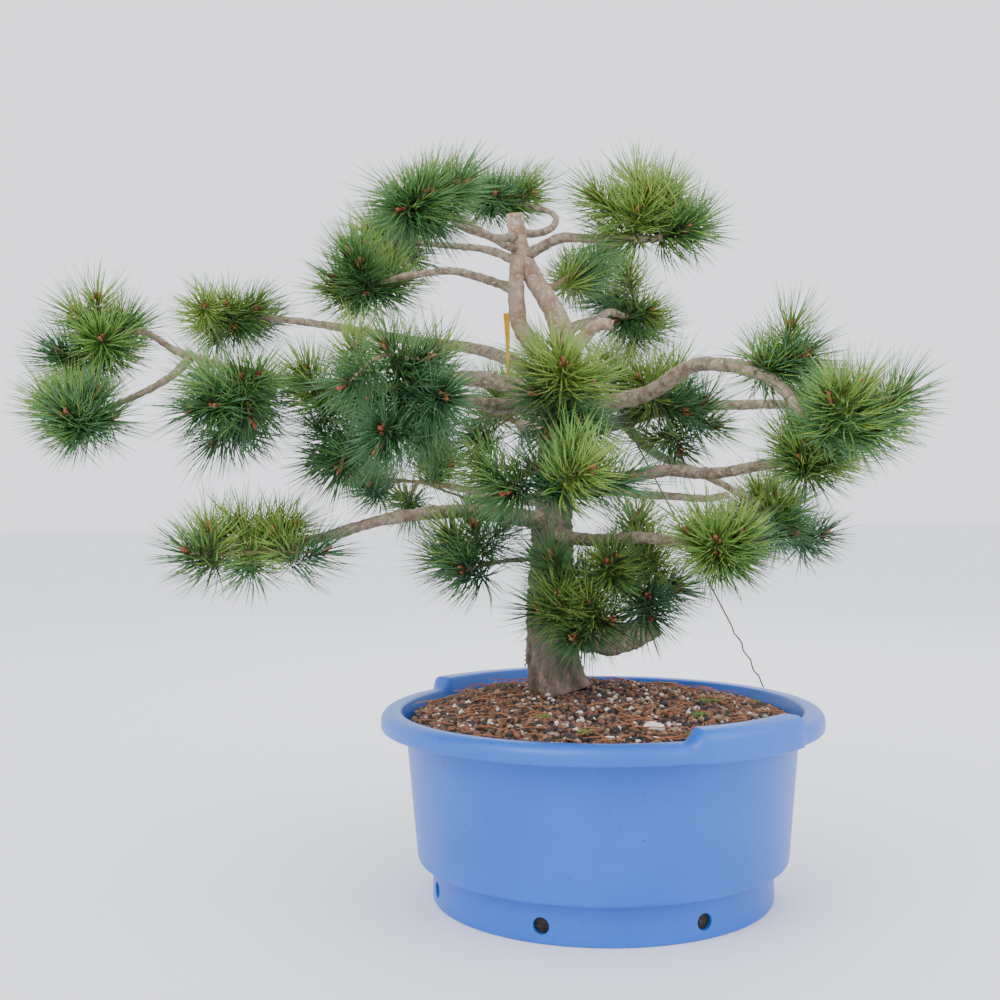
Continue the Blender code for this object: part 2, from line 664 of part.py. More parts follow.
def fuse(name, pieces, material, solver):
    """One Boolean union of all of a mass's pieces, which are meshes."""
    group = bpy.data.collections.new(name)
    body = bpy.data.objects.new(name, pieces[0].copy())
    body.data.materials.append(material)
    bpy.context.collection.objects.link(body)
    members = []
    for piece in pieces[1:]:
        member = bpy.data.objects.new("piece", piece)
        group.objects.link(member)
        members.append(member)
    modifier = body.modifiers.new("fuse", "BOOLEAN")
    modifier.solver = solver
    modifier.operation = "UNION"
    modifier.operand_type = "COLLECTION"
    modifier.collection = group
    apply_modifiers(body)
    for member in members:
        bpy.data.objects.remove(member)
    bpy.data.collections.remove(group)
    return body


def is_sound(item):
    """Whether an object is one closed skin that touches itself nowhere."""
    bm = bmesh.new()
    bm.from_mesh(item.data)
    bmesh.ops.triangulate(bm, faces=bm.faces)
    bmesh.ops.remove_doubles(bm, verts=bm.verts, dist=WELD)
    bmesh.ops.dissolve_degenerate(bm, edges=bm.edges, dist=WELD)
    sound = len(bm.faces) > 0 and bm.calc_volume(signed=True) > 0
    sound = sound and all(len(edge.link_faces) == 2 for edge in bm.edges)
    bm.free()
    return sound


def mesh_from(name, bm):
    """Turn a bmesh into a mesh."""
    mesh = bpy.data.meshes.new(name)
    bm.to_mesh(mesh)
    bm.free()
    return mesh


def build_masses(starts, limb_items, still_items, material):
    """The masses of needles, in two passes: all the twigs, and then the sprays that clear them."""
    by_name = {limb.name: limb for limb in LIMBS}
    limb_trees = {name: tree_of(item) for name, item in limb_items.items()}
    limb_trees.update({name: tree_of(item) for name, item in still_items.items()})
    grown, twig_trees = {}, {}
    for mass in MASSES:
        limb = by_name[mass.limb]
        base = limb_point(limb, starts[mass.limb], mass.at)
        tangent = (limb_point(limb, starts[mass.limb], 1) - limb_point(limb, starts[mass.limb], 0.93)).normalized()
        twigs = grow_mass(mass, base, tangent, limb_trees, list(twig_trees.values()))
        grown[mass.name] = twigs
        together = bmesh.new()
        for points, radius in twigs:
            piece = add_object("piece", twig_mesh(points, radius, GAP))
            together.from_mesh(piece.data)
            bpy.data.objects.remove(piece)
        twig_trees[mass.name] = BVHTree.FromBMesh(together)
        together.free()
    for mass in MASSES:
        rng = random.Random(mass.seed)
        rivals = [points[-1] for name, twigs in grown.items() if name != mass.name for points, _ in twigs]
        tips = [points[-1] for points, _ in grown[mass.name]]
        trees = list(limb_trees.values()) + [tree for name, tree in twig_trees.items() if name != mass.name]
        twigs = [mesh_from("twig", twig_mesh(points, radius)) for points, radius in grown[mass.name]]
        sprays = []
        for points, _ in grown[mass.name]:
            axis = ((points[-1] - points[-2]).normalized() + Vector((0, 0, SHOOT_LIFT))).normalized()
            for size in (1.0, 0.7, 0.45):
                kin = [tip for tip in tips if tip is not points[-1]]
                spray = spray_mesh(points[-1], axis, rng, rivals, kin, trees, size)
                if spray:
                    sprays.append(mesh_from("spray", spray))
                    break
        seat_mass(mass, twigs, sprays, by_name[mass.limb], starts[mass.limb], material)


def seat_mass(mass, twigs, sprays, limb, start, material):
    """Fuse a mass and seat it on its limb. One that comes out unsound gets another solver or fewer sprays."""
    for count in range(len(sprays), 0, -1):
        for solver in ("EXACT", "MANIFOLD"):
            body = fuse(mass.name, twigs + sprays[:count], material, solver)
            cut(body, add_object("cutter", limb_mesh(limb, start, GAP)))
            keep_main_shell(body)
            if is_sound(body):
                return
            bpy.data.objects.remove(body)


def build_all():
    """Make the whole plant in its tub."""
    clear_scene()
    old_bark = make_material("old_bark", (0.20, 0.13, 0.09), 0.9)
    young_bark = make_material("young_bark", (0.34, 0.22, 0.15), 0.85)
    needles = make_material("needles", (0.07, 0.19, 0.05), 0.6)
    plastic = make_material("blue_plastic", (0.03, 0.22, 0.72), 0.4)
    earth = make_material("soil", (0.09, 0.05, 0.035), 0.95)
    steel = make_material("guy_wire", (0.06, 0.05, 0.05), 0.5, 0.8)
    starts = limb_starts()
    bark_of = {limb.name: young_bark if "leader" in limb.name else old_bark for limb in LIMBS}
    still_items = {"tub": build_tub(plastic), "soil": build_soil(earth)}
    limb_items = build_limbs(starts, bark_of)
    still_items.update(build_wires(starts, steel))
    build_masses(starts, limb_items, still_items, needles)


build_all()
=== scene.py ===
"""Looks of the potted Scots pine bonsai: bark, needles, tub, soil and the small things on them."""
import json
import logging
import math
import random
from collections.abc import Callable
from dataclasses import dataclass, field
from enum import Enum

import bmesh
import bpy
import numpy as np
from mathutils import Matrix, Vector, noise

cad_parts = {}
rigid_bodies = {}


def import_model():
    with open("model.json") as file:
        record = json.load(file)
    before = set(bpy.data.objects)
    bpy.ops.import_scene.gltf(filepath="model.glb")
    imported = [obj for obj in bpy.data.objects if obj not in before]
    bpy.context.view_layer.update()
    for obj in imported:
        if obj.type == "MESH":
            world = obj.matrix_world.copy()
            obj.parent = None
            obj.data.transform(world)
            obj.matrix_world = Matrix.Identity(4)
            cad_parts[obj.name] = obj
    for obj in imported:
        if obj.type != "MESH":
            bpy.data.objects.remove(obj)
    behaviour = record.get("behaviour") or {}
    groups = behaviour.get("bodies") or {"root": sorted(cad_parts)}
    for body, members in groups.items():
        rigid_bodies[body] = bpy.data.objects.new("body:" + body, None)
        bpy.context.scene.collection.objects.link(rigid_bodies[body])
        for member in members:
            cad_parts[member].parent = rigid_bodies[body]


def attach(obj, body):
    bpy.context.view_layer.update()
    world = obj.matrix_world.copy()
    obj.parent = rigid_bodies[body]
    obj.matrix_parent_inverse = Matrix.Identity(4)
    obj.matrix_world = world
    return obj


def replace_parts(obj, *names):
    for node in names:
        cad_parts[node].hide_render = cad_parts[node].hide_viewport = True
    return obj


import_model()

logging.basicConfig(level=logging.INFO, format="%(message)s")
LOG = logging.getLogger("pine")
BODY = "root"
GAP = 0.0003
SOIL_CREST_HEIGHT = 0.1997
SOIL_EDGE_HEIGHT = 0.179
TRUNK_FOOT = Vector((-0.0385, 0.045, SOIL_CREST_HEIGHT + GAP))
TRUNK_TAPER_POWER = 1.6
ROOT_FLARE = 0.0065
ROOT_FLARE_HEIGHT = 0.020
ROOT_LOBES = 5
CROOK = 0.010
CANDIDATES = 6
SHOOT_LIFT = 0.45
FORK_SPACING = 0.037
FORK_TURNS = 6
TWIG_LEAN = 0.4
SHALLOWEST = 0.45
BUMP_LEVELS = (0.25, 0.75)
PATCH_OCTAVES = 6.0
FLECK_OCTAVES = 3.0
BUMP_OCTAVES = 8.0
PLAIN_BUMP_SCALE = 800
PLAIN_BUMP_LEVELS = (0.3, 0.7)
PLAIN_BUMP_DEPTH = 0.0003
PLATE_STRETCH = 0.5
PLATE_WARP = 0.35
PLATE_WARP_SCALE = 1.7
FISSURE_STEEPNESS = 2.6
REACH_LOW = np.array([-0.590, -0.292, 0.0])
REACH_HIGH = np.array([0.380, 0.440, 0.822])


@dataclass(frozen=True)
class Limb:
    """A limb's driving sizes, as the solids have them."""

    name: str
    parent: str | None
    at: float
    heading: float
    reach: float
    rise: float
    arch: float
    kink: float
    sway: float
    twist: float
    radius: float
    tip_radius: float


@dataclass(frozen=True)
class Mass:
    """The space of a mass of needles, and the seed of its shoots."""

    name: str
    limb: str
    at: float
    heading: float
    pitch: float
    out: float
    long: float
    wide: float
    high: float
    shoots: int
    seed: int


LIMBS = (
    Limb("trunk", None, 0, -76, 0.010, 0.326, 0.013, 0.0, -0.008, -0.002, 0.0270, 0.0115),
    Limb("right_leader", "trunk", 1.0, -174, 0.047, 0.176, 0.005, 0.008, 0.014, 0.006, 0.0120, 0.0095),
    Limb("left_leader", "trunk", 1.0, -163, 0.046, 0.129, -0.019, 0.004, -0.003, -0.006, 0.0105, 0.0080),
    Limb("low_right_stub", "trunk", 0.17, 22, 0.126, 0.010, -0.008, 0.007, 0.003, -0.005, 0.0185, 0.0150),
    Limb("leader_stub", "right_leader", 0.2, -7, 0.051, 0.019, 0.002, -0.005, 0.001, 0.002, 0.0075, 0.0060),
    Limb("right_cut_branch", "trunk", 0.63, 20, 0.209, 0.000, 0.002, 0.004, 0.002, 0.001, 0.0055, 0.0040),
    Limb("bare_cut_twig", "right_leader", 0.8, -140, 0.106, 0.028, -0.006, -0.003, 0.009, 0.002,
         0.0040, 0.0030),
    Limb("right_arching_bough", "trunk", 0.92, -44, 0.229, 0.028, 0.005, -0.008, 0.029, 0.008,
         0.0095, 0.0065),
    Limb("right_arching_tip", "right_arching_bough", 1.0, -56, 0.079, -0.049, 0.006, 0.0, 0.006, 0.0,
         0.0060, 0.0045),
    Limb("right_back_bough", "trunk", 0.82, 25, 0.346, 0.044, 0.013, 0.0, 0.022, 0.004, 0.0100, 0.0045),
    Limb("right_drooping_bough", "right_back_bough", 0.28, 16, 0.173, -0.100, -0.007, -0.005, 0.002, 0.002,
         0.0055, 0.0035),
    Limb("right_middle_bough", "trunk", 0.7, -35, 0.258, 0.009, -0.005, 0.0, 0.006, 0.002, 0.0085, 0.0050),
    Limb("right_low_bough", "trunk", 0.53, -50, 0.198, -0.011, -0.004, -0.004, -0.016, -0.005,
         0.0080, 0.0050),
    Limb("left_low_bough", "trunk", 0.55, -157, 0.284, -0.018, 0.020, 0.001, 0.004, 0.004, 0.0095, 0.0045),
    Limb("left_front_bough", "trunk", 0.92, -121, 0.186, -0.001, -0.001, 0.002, -0.003, -0.001,
         0.0095, 0.0060),
    Limb("left_long_bough", "trunk", 0.95, -174, 0.378, 0.044, -0.006, 0.013, -0.024, -0.011,
         0.0095, 0.0050),
    Limb("far_left_upper_bough", "left_long_bough", 1.0, -168, 0.061, 0.026, 0.002, -0.002, -0.004, -0.003,
         0.0045, 0.0030),
    Limb("far_left_lower_bough", "left_long_bough", 1.0, -154, 0.087, -0.055, -0.007, -0.001, 0.003, -0.002,
         0.0045, 0.0030),
    Limb("left_back_bough", "trunk", 0.97, 155, 0.390, 0.105, 0.019, 0.006, -0.053, -0.006, 0.0080, 0.0040),
    Limb("upper_left_bough", "left_leader", 0.77, 159, 0.146, 0.020, 0.014, 0.0, 0.002, 0.001,
         0.0050, 0.0035),
    Limb("upper_left_back_bough", "left_leader", 0.98, 137, 0.174, 0.045, 0.004, 0.002, -0.012, -0.002,
         0.0050, 0.0030),
    Limb("top_left_bough", "right_leader", 0.87, -125, 0.139, 0.012, -0.014, 0.001, 0.004, 0.0,
         0.0050, 0.0030),
    Limb("top_back_bough", "right_leader", 0.9, 94, 0.136, 0.062, -0.008, -0.003, -0.051, 0.005,
         0.0045, 0.0030),
    Limb("top_right_bough", "right_leader", 0.75, -33, 0.162, 0.003, 0.010, 0.004, -0.005, 0.0,
         0.0060, 0.0035),
    Limb("front_bough", "trunk", 0.73, -92, 0.176, -0.009, 0.002, 0.0, 0.0, -0.001, 0.0080, 0.0050),
    Limb("back_bough", "trunk", 0.77, 99, 0.217, 0.043, 0.006, 0.0, -0.004, -0.001, 0.0090, 0.0050),
    Limb("back_right_bough", "right_leader", 0.3, 66, 0.232, 0.036, 0.004, -0.005, 0.003, 0.0,
         0.0060, 0.0035),
    Limb("back_left_bough", "trunk", 0.62, 120, 0.231, 0.015, -0.003, 0.0, -0.009, 0.001, 0.0080, 0.0045),
)

MASSES = (
    Mass("far_left_upper_needles", "far_left_upper_bough", 1, -180, -10, 0.040, 0.080, 0.100, 0.060, 4, 2256),
    Mass("far_left_lower_needles", "far_left_lower_bough", 1, -155, -5, 0.035, 0.050, 0.100, 0.040, 4, 2374),
    Mass("left_long_outer_needles", "left_long_bough", 0.8, -100, -20, 0.115, 0.070, 0.075, 0.080, 4, 125),
    Mass("left_long_inner_needles", "left_long_bough", 0.52, -100, -15, 0.090, 0.080, 0.085, 0.140, 5, 2088),
    Mass("left_front_needles", "left_front_bough", 1, -120, 0, 0.100, 0.140, 0.090, 0.110, 5, 373),
    Mass("left_back_needles", "left_back_bough", 1, 150, 0, 0.035, 0.100, 0.130, 0.070, 4, 1493),
    Mass("left_low_needles", "left_low_bough", 1, -155, 0, 0.035, 0.145, 0.150, 0.045, 4, 67),
    Mass("low_left_needles", "trunk", 0.42, -140, 10, 0.125, 0.030, 0.080, 0.060, 3, 1524),
    Mass("front_needles", "front_bough", 1, -95, 0, 0.040, 0.100, 0.150, 0.045, 4, 1878),
    Mass("fork_front_needles", "trunk", 0.94, -90, 0, 0.140, 0.045, 0.065, 0.095, 4, 369),
    Mass("low_front_needles", "trunk", 0.3, -80, 5, 0.105, 0.050, 0.090, 0.085, 4, 452),
    Mass("low_right_needles", "trunk", 0.38, -35, 5, 0.110, 0.050, 0.130, 0.110, 4, 717),
    Mass("right_low_needles", "right_low_bough", 1, -35, 5, 0.040, 0.035, 0.070, 0.040, 4, 379),
    Mass("right_drooping_needles", "right_drooping_bough", 1, 20, -30, 0.030, 0.105, 0.075, 0.055, 4, 2176),
    Mass("right_middle_needles", "right_middle_bough", 1, -20, 20, 0.040, 0.060, 0.060, 0.045, 4, 995),
    Mass("right_arching_needles", "right_arching_tip", 1, -10, 10, 0.055, 0.070, 0.055, 0.045, 4, 2092),
    Mass("right_crest_needles", "right_arching_bough", 0.97, -25, 5, 0.060, 0.030, 0.030, 0.030, 2, 1243),
    Mass("right_back_needles", "right_back_bough", 1, 50, -5, 0.030, 0.080, 0.060, 0.060, 4, 721),
    Mass("right_inner_needles", "right_back_bough", 0.45, -95, 10, 0.060, 0.085, 0.155, 0.130, 5, 965),
    Mass("back_right_needles", "back_right_bough", 1, 110, 40, 0.015, 0.095, 0.080, 0.105, 4, 1217),
    Mass("leader_right_needles", "right_leader", 0.52, 55, 25, 0.090, 0.050, 0.030, 0.030, 2, 2373),
    Mass("top_left_needles", "top_left_bough", 1, -110, -10, 0.020, 0.080, 0.095, 0.040, 4, 461),
    Mass("top_back_needles", "top_back_bough", 1, -80, 90, 0.010, 0.030, 0.085, 0.090, 4, 107),
    Mass("top_right_needles", "top_right_bough", 0.75, 10, 45, 0.045, 0.115, 0.135, 0.130, 5, 1184),
    Mass("upper_left_needles", "upper_left_bough", 1, 150, 0, 0.030, 0.095, 0.120, 0.060, 4, 677),
    Mass("upper_left_back_needles", "upper_left_back_bough", 1, 130, 0, 0.025, 0.080, 0.110, 0.060, 4, 1997),
    Mass("back_needles", "back_bough", 1, 99, 12, 0.060, 0.140, 0.240, 0.120, 5, 387),
    Mass("back_left_needles", "back_left_bough", 1, 122, 5, 0.060, 0.130, 0.220, 0.100, 4, 93),
)


class Tone(Enum):
    """Needle colours dealt out by shoot: lit and shaded copies of the needle green, from painted shade (DEEP)
    up to painted sunlight (SUNLIT), mixed with a random spread of real tone.
    """

    SUNLIT = (0.22, 0.36, 0.055)
    FRESH = (0.135, 0.275, 0.045)
    MID = (0.075, 0.195, 0.045)
    DEEP = (0.042, 0.130, 0.036)
    BLUISH = (0.055, 0.160, 0.058)


def noise_mask(nodes: bpy.types.Nodes, links: bpy.types.NodeLinks, scale: float, low: float, high: float,
               detail: float = PATCH_OCTAVES,
               stretch: tuple[float, float, float] = (1, 1, 1)) -> bpy.types.NodeSocket:
    """A noise pattern on Object coordinates, sharpened between two levels.

    Args:
        nodes: The material's nodes.
        links: The material's links.
        scale: Pattern scale per metre.
        low: Level that turns black.
        high: Level that turns white.
        detail: Octaves of noise.
        stretch: Scale along each axis.

    Returns:
        The mask's output socket.
    """
    place = nodes.new("ShaderNodeTexCoord")
    mapping = nodes.new("ShaderNodeMapping")
    mapping.inputs["Scale"].default_value = stretch
    links.new(place.outputs["Object"], mapping.inputs["Vector"])
    pattern = nodes.new("ShaderNodeTexNoise")
    pattern.inputs["Scale"].default_value = scale
    pattern.inputs["Detail"].default_value = detail
    links.new(mapping.outputs["Vector"], pattern.inputs["Vector"])
    ramp = nodes.new("ShaderNodeValToRGB")
    ramp.color_ramp.elements[0].position = low
    ramp.color_ramp.elements[1].position = high
    links.new(pattern.outputs["Fac"], ramp.inputs["Fac"])
    return ramp.outputs["Color"]


@dataclass(frozen=True)
class Finish:
    """A surface with patches of a second and a third colour, and a fine bump."""

    name: str
    colour: tuple[float, float, float]
    patch: tuple[float, float, float]
    fleck: tuple[float, float, float]
    roughness: float
    patch_scale: float
    patch_levels: tuple[float, float]
    fleck_scale: float
    fleck_levels: tuple[float, float]
    bump_scale: float
    bump_depth: float
    stretch: tuple[float, float, float] = (1, 1, 1)
    metallic: float = 0.0

    def material(self) -> bpy.types.Material:
        """Build the procedural material.

        Returns:
            The material.
        """
        material = bpy.data.materials.new(self.name)
        material.use_nodes = True
        nodes, links = material.node_tree.nodes, material.node_tree.links
        shader = nodes["Principled BSDF"]
        shader.inputs["Roughness"].default_value = self.roughness
        shader.inputs["Metallic"].default_value = self.metallic
        first = nodes.new("ShaderNodeMix")
        first.data_type = "RGBA"
        first.inputs["A"].default_value = (*self.colour, 1)
        first.inputs["B"].default_value = (*self.patch, 1)
        links.new(noise_mask(nodes, links, self.patch_scale, *self.patch_levels, PATCH_OCTAVES, self.stretch),
                  first.inputs["Factor"])
        second = nodes.new("ShaderNodeMix")
        second.data_type = "RGBA"
        second.inputs["B"].default_value = (*self.fleck, 1)
        links.new(first.outputs["Result"], second.inputs["A"])
        links.new(noise_mask(nodes, links, self.fleck_scale, *self.fleck_levels, FLECK_OCTAVES, self.stretch),
                  second.inputs["Factor"])
        links.new(second.outputs["Result"], shader.inputs["Base Color"])
        bump = nodes.new("ShaderNodeBump")
        bump.inputs["Distance"].default_value = self.bump_depth
        links.new(noise_mask(nodes, links, self.bump_scale, *BUMP_LEVELS, BUMP_OCTAVES, self.stretch),
                  bump.inputs["Height"])
        links.new(bump.outputs["Normal"], shader.inputs["Normal"])
        return material


OLD_BARK = Finish("old_bark", (0.20, 0.155, 0.125), (0.085, 0.060, 0.045), (0.30, 0.20, 0.14), 0.92,
                  60, (0.42, 0.62), 140, (0.56, 0.68), 420, 0.0012, (1, 1, 0.45))
BOUGH_BARK = Finish("bough_bark", (0.30, 0.235, 0.17), (0.16, 0.11, 0.075), (0.40, 0.34, 0.27), 0.9,
                    120, (0.40, 0.62), 300, (0.55, 0.68), 700, 0.0007)
YOUNG_BARK = Finish("young_bark", (0.40, 0.285, 0.21), (0.27, 0.155, 0.105), (0.50, 0.42, 0.35), 0.85,
                    90, (0.42, 0.62), 260, (0.55, 0.68), 600, 0.0005)
TWIG_BARK = Finish("twig_bark", (0.25, 0.175, 0.10), (0.15, 0.09, 0.05), (0.33, 0.27, 0.15), 0.85,
                   250, (0.40, 0.62), 500, (0.55, 0.70), 900, 0.0004)
BLUE_PLASTIC = Finish("blue_plastic", (0.010, 0.115, 0.55), (0.008, 0.095, 0.47), (0.02, 0.05, 0.14), 0.38,
                      9, (0.40, 0.68), 330, (0.70, 0.735), 260, 0.00018)
EARTH = Finish("earth", (0.075, 0.048, 0.035), (0.035, 0.024, 0.020), (0.15, 0.09, 0.06), 0.97,
               180, (0.40, 0.60), 420, (0.58, 0.70), 600, 0.0015)
BUD_SCALE = Finish("bud_scale", (0.33, 0.085, 0.035), (0.20, 0.05, 0.025), (0.50, 0.24, 0.12), 0.5,
                   700, (0.42, 0.60), 1500, (0.58, 0.68), 1500, 0.0003)
DARK_WIRE = Finish("dark_wire", (0.05, 0.042, 0.04), (0.12, 0.06, 0.04), (0.16, 0.15, 0.14), 0.5,
                   200, (0.50, 0.62), 900, (0.62, 0.70), 900, 0.0001, (1, 1, 1), 0.8)
YELLOW_TAG = Finish("yellow_tag", (0.80, 0.50, 0.03), (0.70, 0.42, 0.03), (0.85, 0.60, 0.12), 0.5,
                    60, (0.45, 0.65), 500, (0.62, 0.72), 500, 0.00005)
MOSS = Finish("moss", (0.13, 0.20, 0.04), (0.06, 0.11, 0.025), (0.24, 0.30, 0.08), 0.95,
              400, (0.42, 0.60), 900, (0.56, 0.68), 900, 0.0008)


class Stone(Enum):
    """Kinds of granule in the soil mix: colour and share."""

    LAVA = ((0.040, 0.032, 0.032), 0.36)
    BARK = ((0.15, 0.075, 0.045), 0.32)
    RED = ((0.21, 0.085, 0.055), 0.16)
    TAN = ((0.30, 0.205, 0.14), 0.11)
    PUMICE = ((0.62, 0.57, 0.50), 0.05)


def plain_finish(name: str, colour: tuple[float, float, float], roughness: float) -> bpy.types.Material:
    """A material of one base colour with a fine procedural bump.

    Args:
        name: Material name.
        colour: Base colour.
        roughness: Roughness.

    Returns:
        The material.
    """
    material = bpy.data.materials.new(name)
    material.use_nodes = True
    nodes, links = material.node_tree.nodes, material.node_tree.links
    shader = nodes["Principled BSDF"]
    shader.inputs["Base Color"].default_value = (*colour, 1)
    shader.inputs["Roughness"].default_value = roughness
    bump = nodes.new("ShaderNodeBump")
    bump.inputs["Distance"].default_value = PLAIN_BUMP_DEPTH
    links.new(noise_mask(nodes, links, PLAIN_BUMP_SCALE, *PLAIN_BUMP_LEVELS), bump.inputs["Height"])
    links.new(bump.outputs["Normal"], shader.inputs["Normal"])
    return material


def add_piece(name: str, mesh: bpy.types.Mesh, material: bpy.types.Material,
              smooth: bool = True) -> bpy.types.Object:
    """Make a finished piece that rides on the plant's body.

    Args:
        name: Piece name.
        mesh: Its mesh, in the row frame.
        material: Its material.
        smooth: Whether it is shaded smooth.

    Returns:
        The object.
    """
    mesh.materials.append(material)
    if smooth:
        mesh.shade_smooth()
    piece = bpy.data.objects.new(name, mesh)
    bpy.context.scene.collection.objects.link(piece)
    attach(piece, BODY)
    LOG.info("%s: %d faces", name, len(mesh.polygons))
    return piece


def mesh_of(name: str, bm: bmesh.types.BMesh) -> bpy.types.Mesh:
    """Turn a bmesh into a mesh and free it.

    Args:
        name: Mesh name.
        bm: The bmesh.

    Returns:
        The mesh.
    """
    mesh = bpy.data.meshes.new(name)
    bm.to_mesh(mesh)
    bm.free()
    return mesh


def join_into(bm: bmesh.types.BMesh, part: bmesh.types.BMesh) -> None:
    """Add a part to a bmesh and free the part.

    Args:
        bm: The bmesh that grows.
        part: What is added.
    """
    mesh = mesh_of("part", part)
    bm.from_mesh(mesh)
    bpy.data.meshes.remove(mesh)


def ringed(points: list[Vector], radius_at: Callable[[int, float, Vector], float],
           sides: int) -> bmesh.types.BMesh:
    """Closed skin of rings square to a route.

    Args:
        points: Middle line.
        radius_at: Radius for a step, a turn round the line and the direction out from it.
        sides: Points in a ring.

    Returns:
        The skin.
    """
    bm = bmesh.new()
    count = len(points)
    across = (points[1] - points[0]).normalized().orthogonal().normalized()
    rings = []
    for step, point in enumerate(points):
        along = (points[min(step + 1, count - 1)] - points[max(step - 1, 0)]).normalized()
        across = (across - along * across.dot(along)).normalized()
        other = along.cross(across)
        ring = []
        for side in range(sides):
            turn = math.tau * side / sides
            spoke = across * math.cos(turn) + other * math.sin(turn)
            ring.append(bm.verts.new(point + spoke * radius_at(step, turn, spoke)))
        rings.append(ring)
    for lower, upper in zip(rings, rings[1:]):
        for side in range(sides):
            after = (side + 1) % sides
            bm.faces.new((lower[side], lower[after], upper[after], upper[side]))
    bm.faces.new(list(reversed(rings[0])))
    bm.faces.new(rings[-1])
    return bm


def plates(place: Vector, size: float) -> float:
    """Height of bark plates at a place: 1 on a plate and 0 in a fissure.

    Args:
        place: Point on the bark.
        size: Width of a plate in metres.

    Returns:
        The height, from 0 to 1.
    """
    squashed = Vector((place.x, place.y, place.z * PLATE_STRETCH)) / size
    squashed += noise.noise_vector(squashed * PLATE_WARP_SCALE) * PLATE_WARP
    distances = noise.voronoi(squashed)[0]
    return min(1.0, (distances[1] - distances[0]) * FISSURE_STEEPNESS)


@dataclass
class Skeleton:
    """Trunk, leaders, boughs and stubs, with the bark's relief in their meshes."""

    limbs: tuple[Limb, ...] = LIMBS
    starts: dict[str, Vector] = field(default_factory=dict)
    named: dict[str, Limb] = field(default_factory=dict)
    trunk_sides: int = 96
    bough_sides: int = 20
    trunk_plate: float = 0.011
    bough_plate: float = 0.0042
    trunk_step: float = 0.0022
    bough_step: float = 0.0038
    least_steps: int = 8
    trunk_relief: float = 0.0030
    bough_relief: float = 0.0006
    relief_per_radius: float = 0.045
    plate_level: float = 0.75
    trunk_grain: float = 260
    bough_grain: float = 520
    grain_share: float = 0.5
    collar: float = 0.25
    collar_reach: float = 2.5
    knot_depth: float = 0.10
    knot_scale: float = 70

    def __post_init__(self) -> None:
        """Place each limb's start on its parent."""
        for limb in self.limbs:
            self.named[limb.name] = limb
            self.starts[limb.name] = (TRUNK_FOOT.copy() if limb.parent is None
                                      else self.point(limb.parent, limb.at))

    def point(self, name: str, share: float) -> Vector:
        """Point on a limb's middle line.

        Args:
            name: Limb name.
            share: Share of the way to the tip.

        Returns:
            The point.
        """
        limb = self.named[name]
        heading = math.radians(limb.heading)
        span = math.hypot(limb.reach, limb.rise)
        level = Vector((math.cos(heading), math.sin(heading), 0))
        chord = (level * limb.reach + Vector((0, 0, limb.rise))) / span
        upward = (Vector((0, 0, limb.reach)) - level * limb.rise) / span
        sideways = Vector((-math.sin(heading), math.cos(heading), 0))
        once, twice = math.sin(math.pi * share), math.sin(2 * math.pi * share)
        rng = random.Random(limb.name)
        wander = [rng.uniform(-1, 1) for _ in range(4)]
        third = math.sin(3 * math.pi * share) * CROOK * span
        fifth = math.sin(5 * math.pi * share) * CROOK * span * 0.6
        lifted = limb.arch * once + limb.kink * twice + wander[0] * third + wander[1] * fifth
        aside = limb.sway * once + limb.twist * twice + wander[2] * third + wander[3] * fifth
        return self.starts[name] + chord * (span * share) + upward * lifted + sideways * aside

    def radius(self, limb: Limb, share: float) -> float:
        """Radius of a limb at a share of its length.

        Args:
            limb: The limb.
            share: Share of the way to the tip.

        Returns:
            The radius.
        """
        power = TRUNK_TAPER_POWER if limb.parent is None else 1
        return limb.radius + (limb.tip_radius - limb.radius) * share ** power

    def skin(self, limb: Limb) -> bmesh.types.BMesh:
        """Mesh of one limb with plates, knots and its root flare or collar.

        Args:
            limb: The limb.

        Returns:
            The skin.
        """
        is_trunk = limb.parent is None
        span = math.hypot(limb.reach, limb.rise)
        steps = max(self.least_steps, round(span / (self.trunk_step if is_trunk else self.bough_step)))
        points = [self.point(limb.name, step / steps) for step in range(steps + 1)]
        plate = self.trunk_plate if is_trunk else self.bough_plate
        relief = (self.trunk_relief if is_trunk
                  else self.bough_relief + self.relief_per_radius * limb.radius)

        def radius_at(step: int, turn: float, spoke: Vector) -> float:
            """Radius of the bark, from the solids' radius and the relief.

            Args:
                step: Step along the limb.
                turn: Turn round it.
                spoke: Direction out from its middle line.

            Returns:
                The radius.
            """
            share = step / steps
            radius = self.radius(limb, share)
            if is_trunk:
                height = share * limb.rise
                lobes = 1 + 0.5 * math.cos(ROOT_LOBES * turn)
                radius += ROOT_FLARE * lobes * math.exp(-height / ROOT_FLARE_HEIGHT)
            else:
                radius *= 1 + self.collar * math.exp(-share * span / (self.collar_reach * limb.radius))
                radius *= 1 + self.knot_depth * noise.noise(points[step] * self.knot_scale)
            place = points[step] + spoke * radius
            radius += relief * (plates(place, plate) - self.plate_level)
            grain = self.trunk_grain if is_trunk else self.bough_grain
            return radius + relief * self.grain_share * noise.noise(place * grain)

        bm = ringed(points, radius_at, self.trunk_sides if is_trunk else self.bough_sides)
        if is_trunk:
            for vertex in bm.verts:
                vertex.co.z = max(vertex.co.z, TRUNK_FOOT.z)
        return bm

    def build(self, bark: bpy.types.Material, bough: bpy.types.Material,
              young: bpy.types.Material) -> None:
        """Build and dress every limb.

        Args:
            bark: Finish of the trunk.
            bough: Finish of the boughs and stubs.
            young: Finish of the leaders.
        """
        for limb in self.limbs:
            finish = bark if limb.parent is None else young if "leader" in limb.name else bough
            piece = add_piece(limb.name + "_bark", mesh_of(limb.name, self.skin(limb)), finish)
            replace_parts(piece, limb.name)


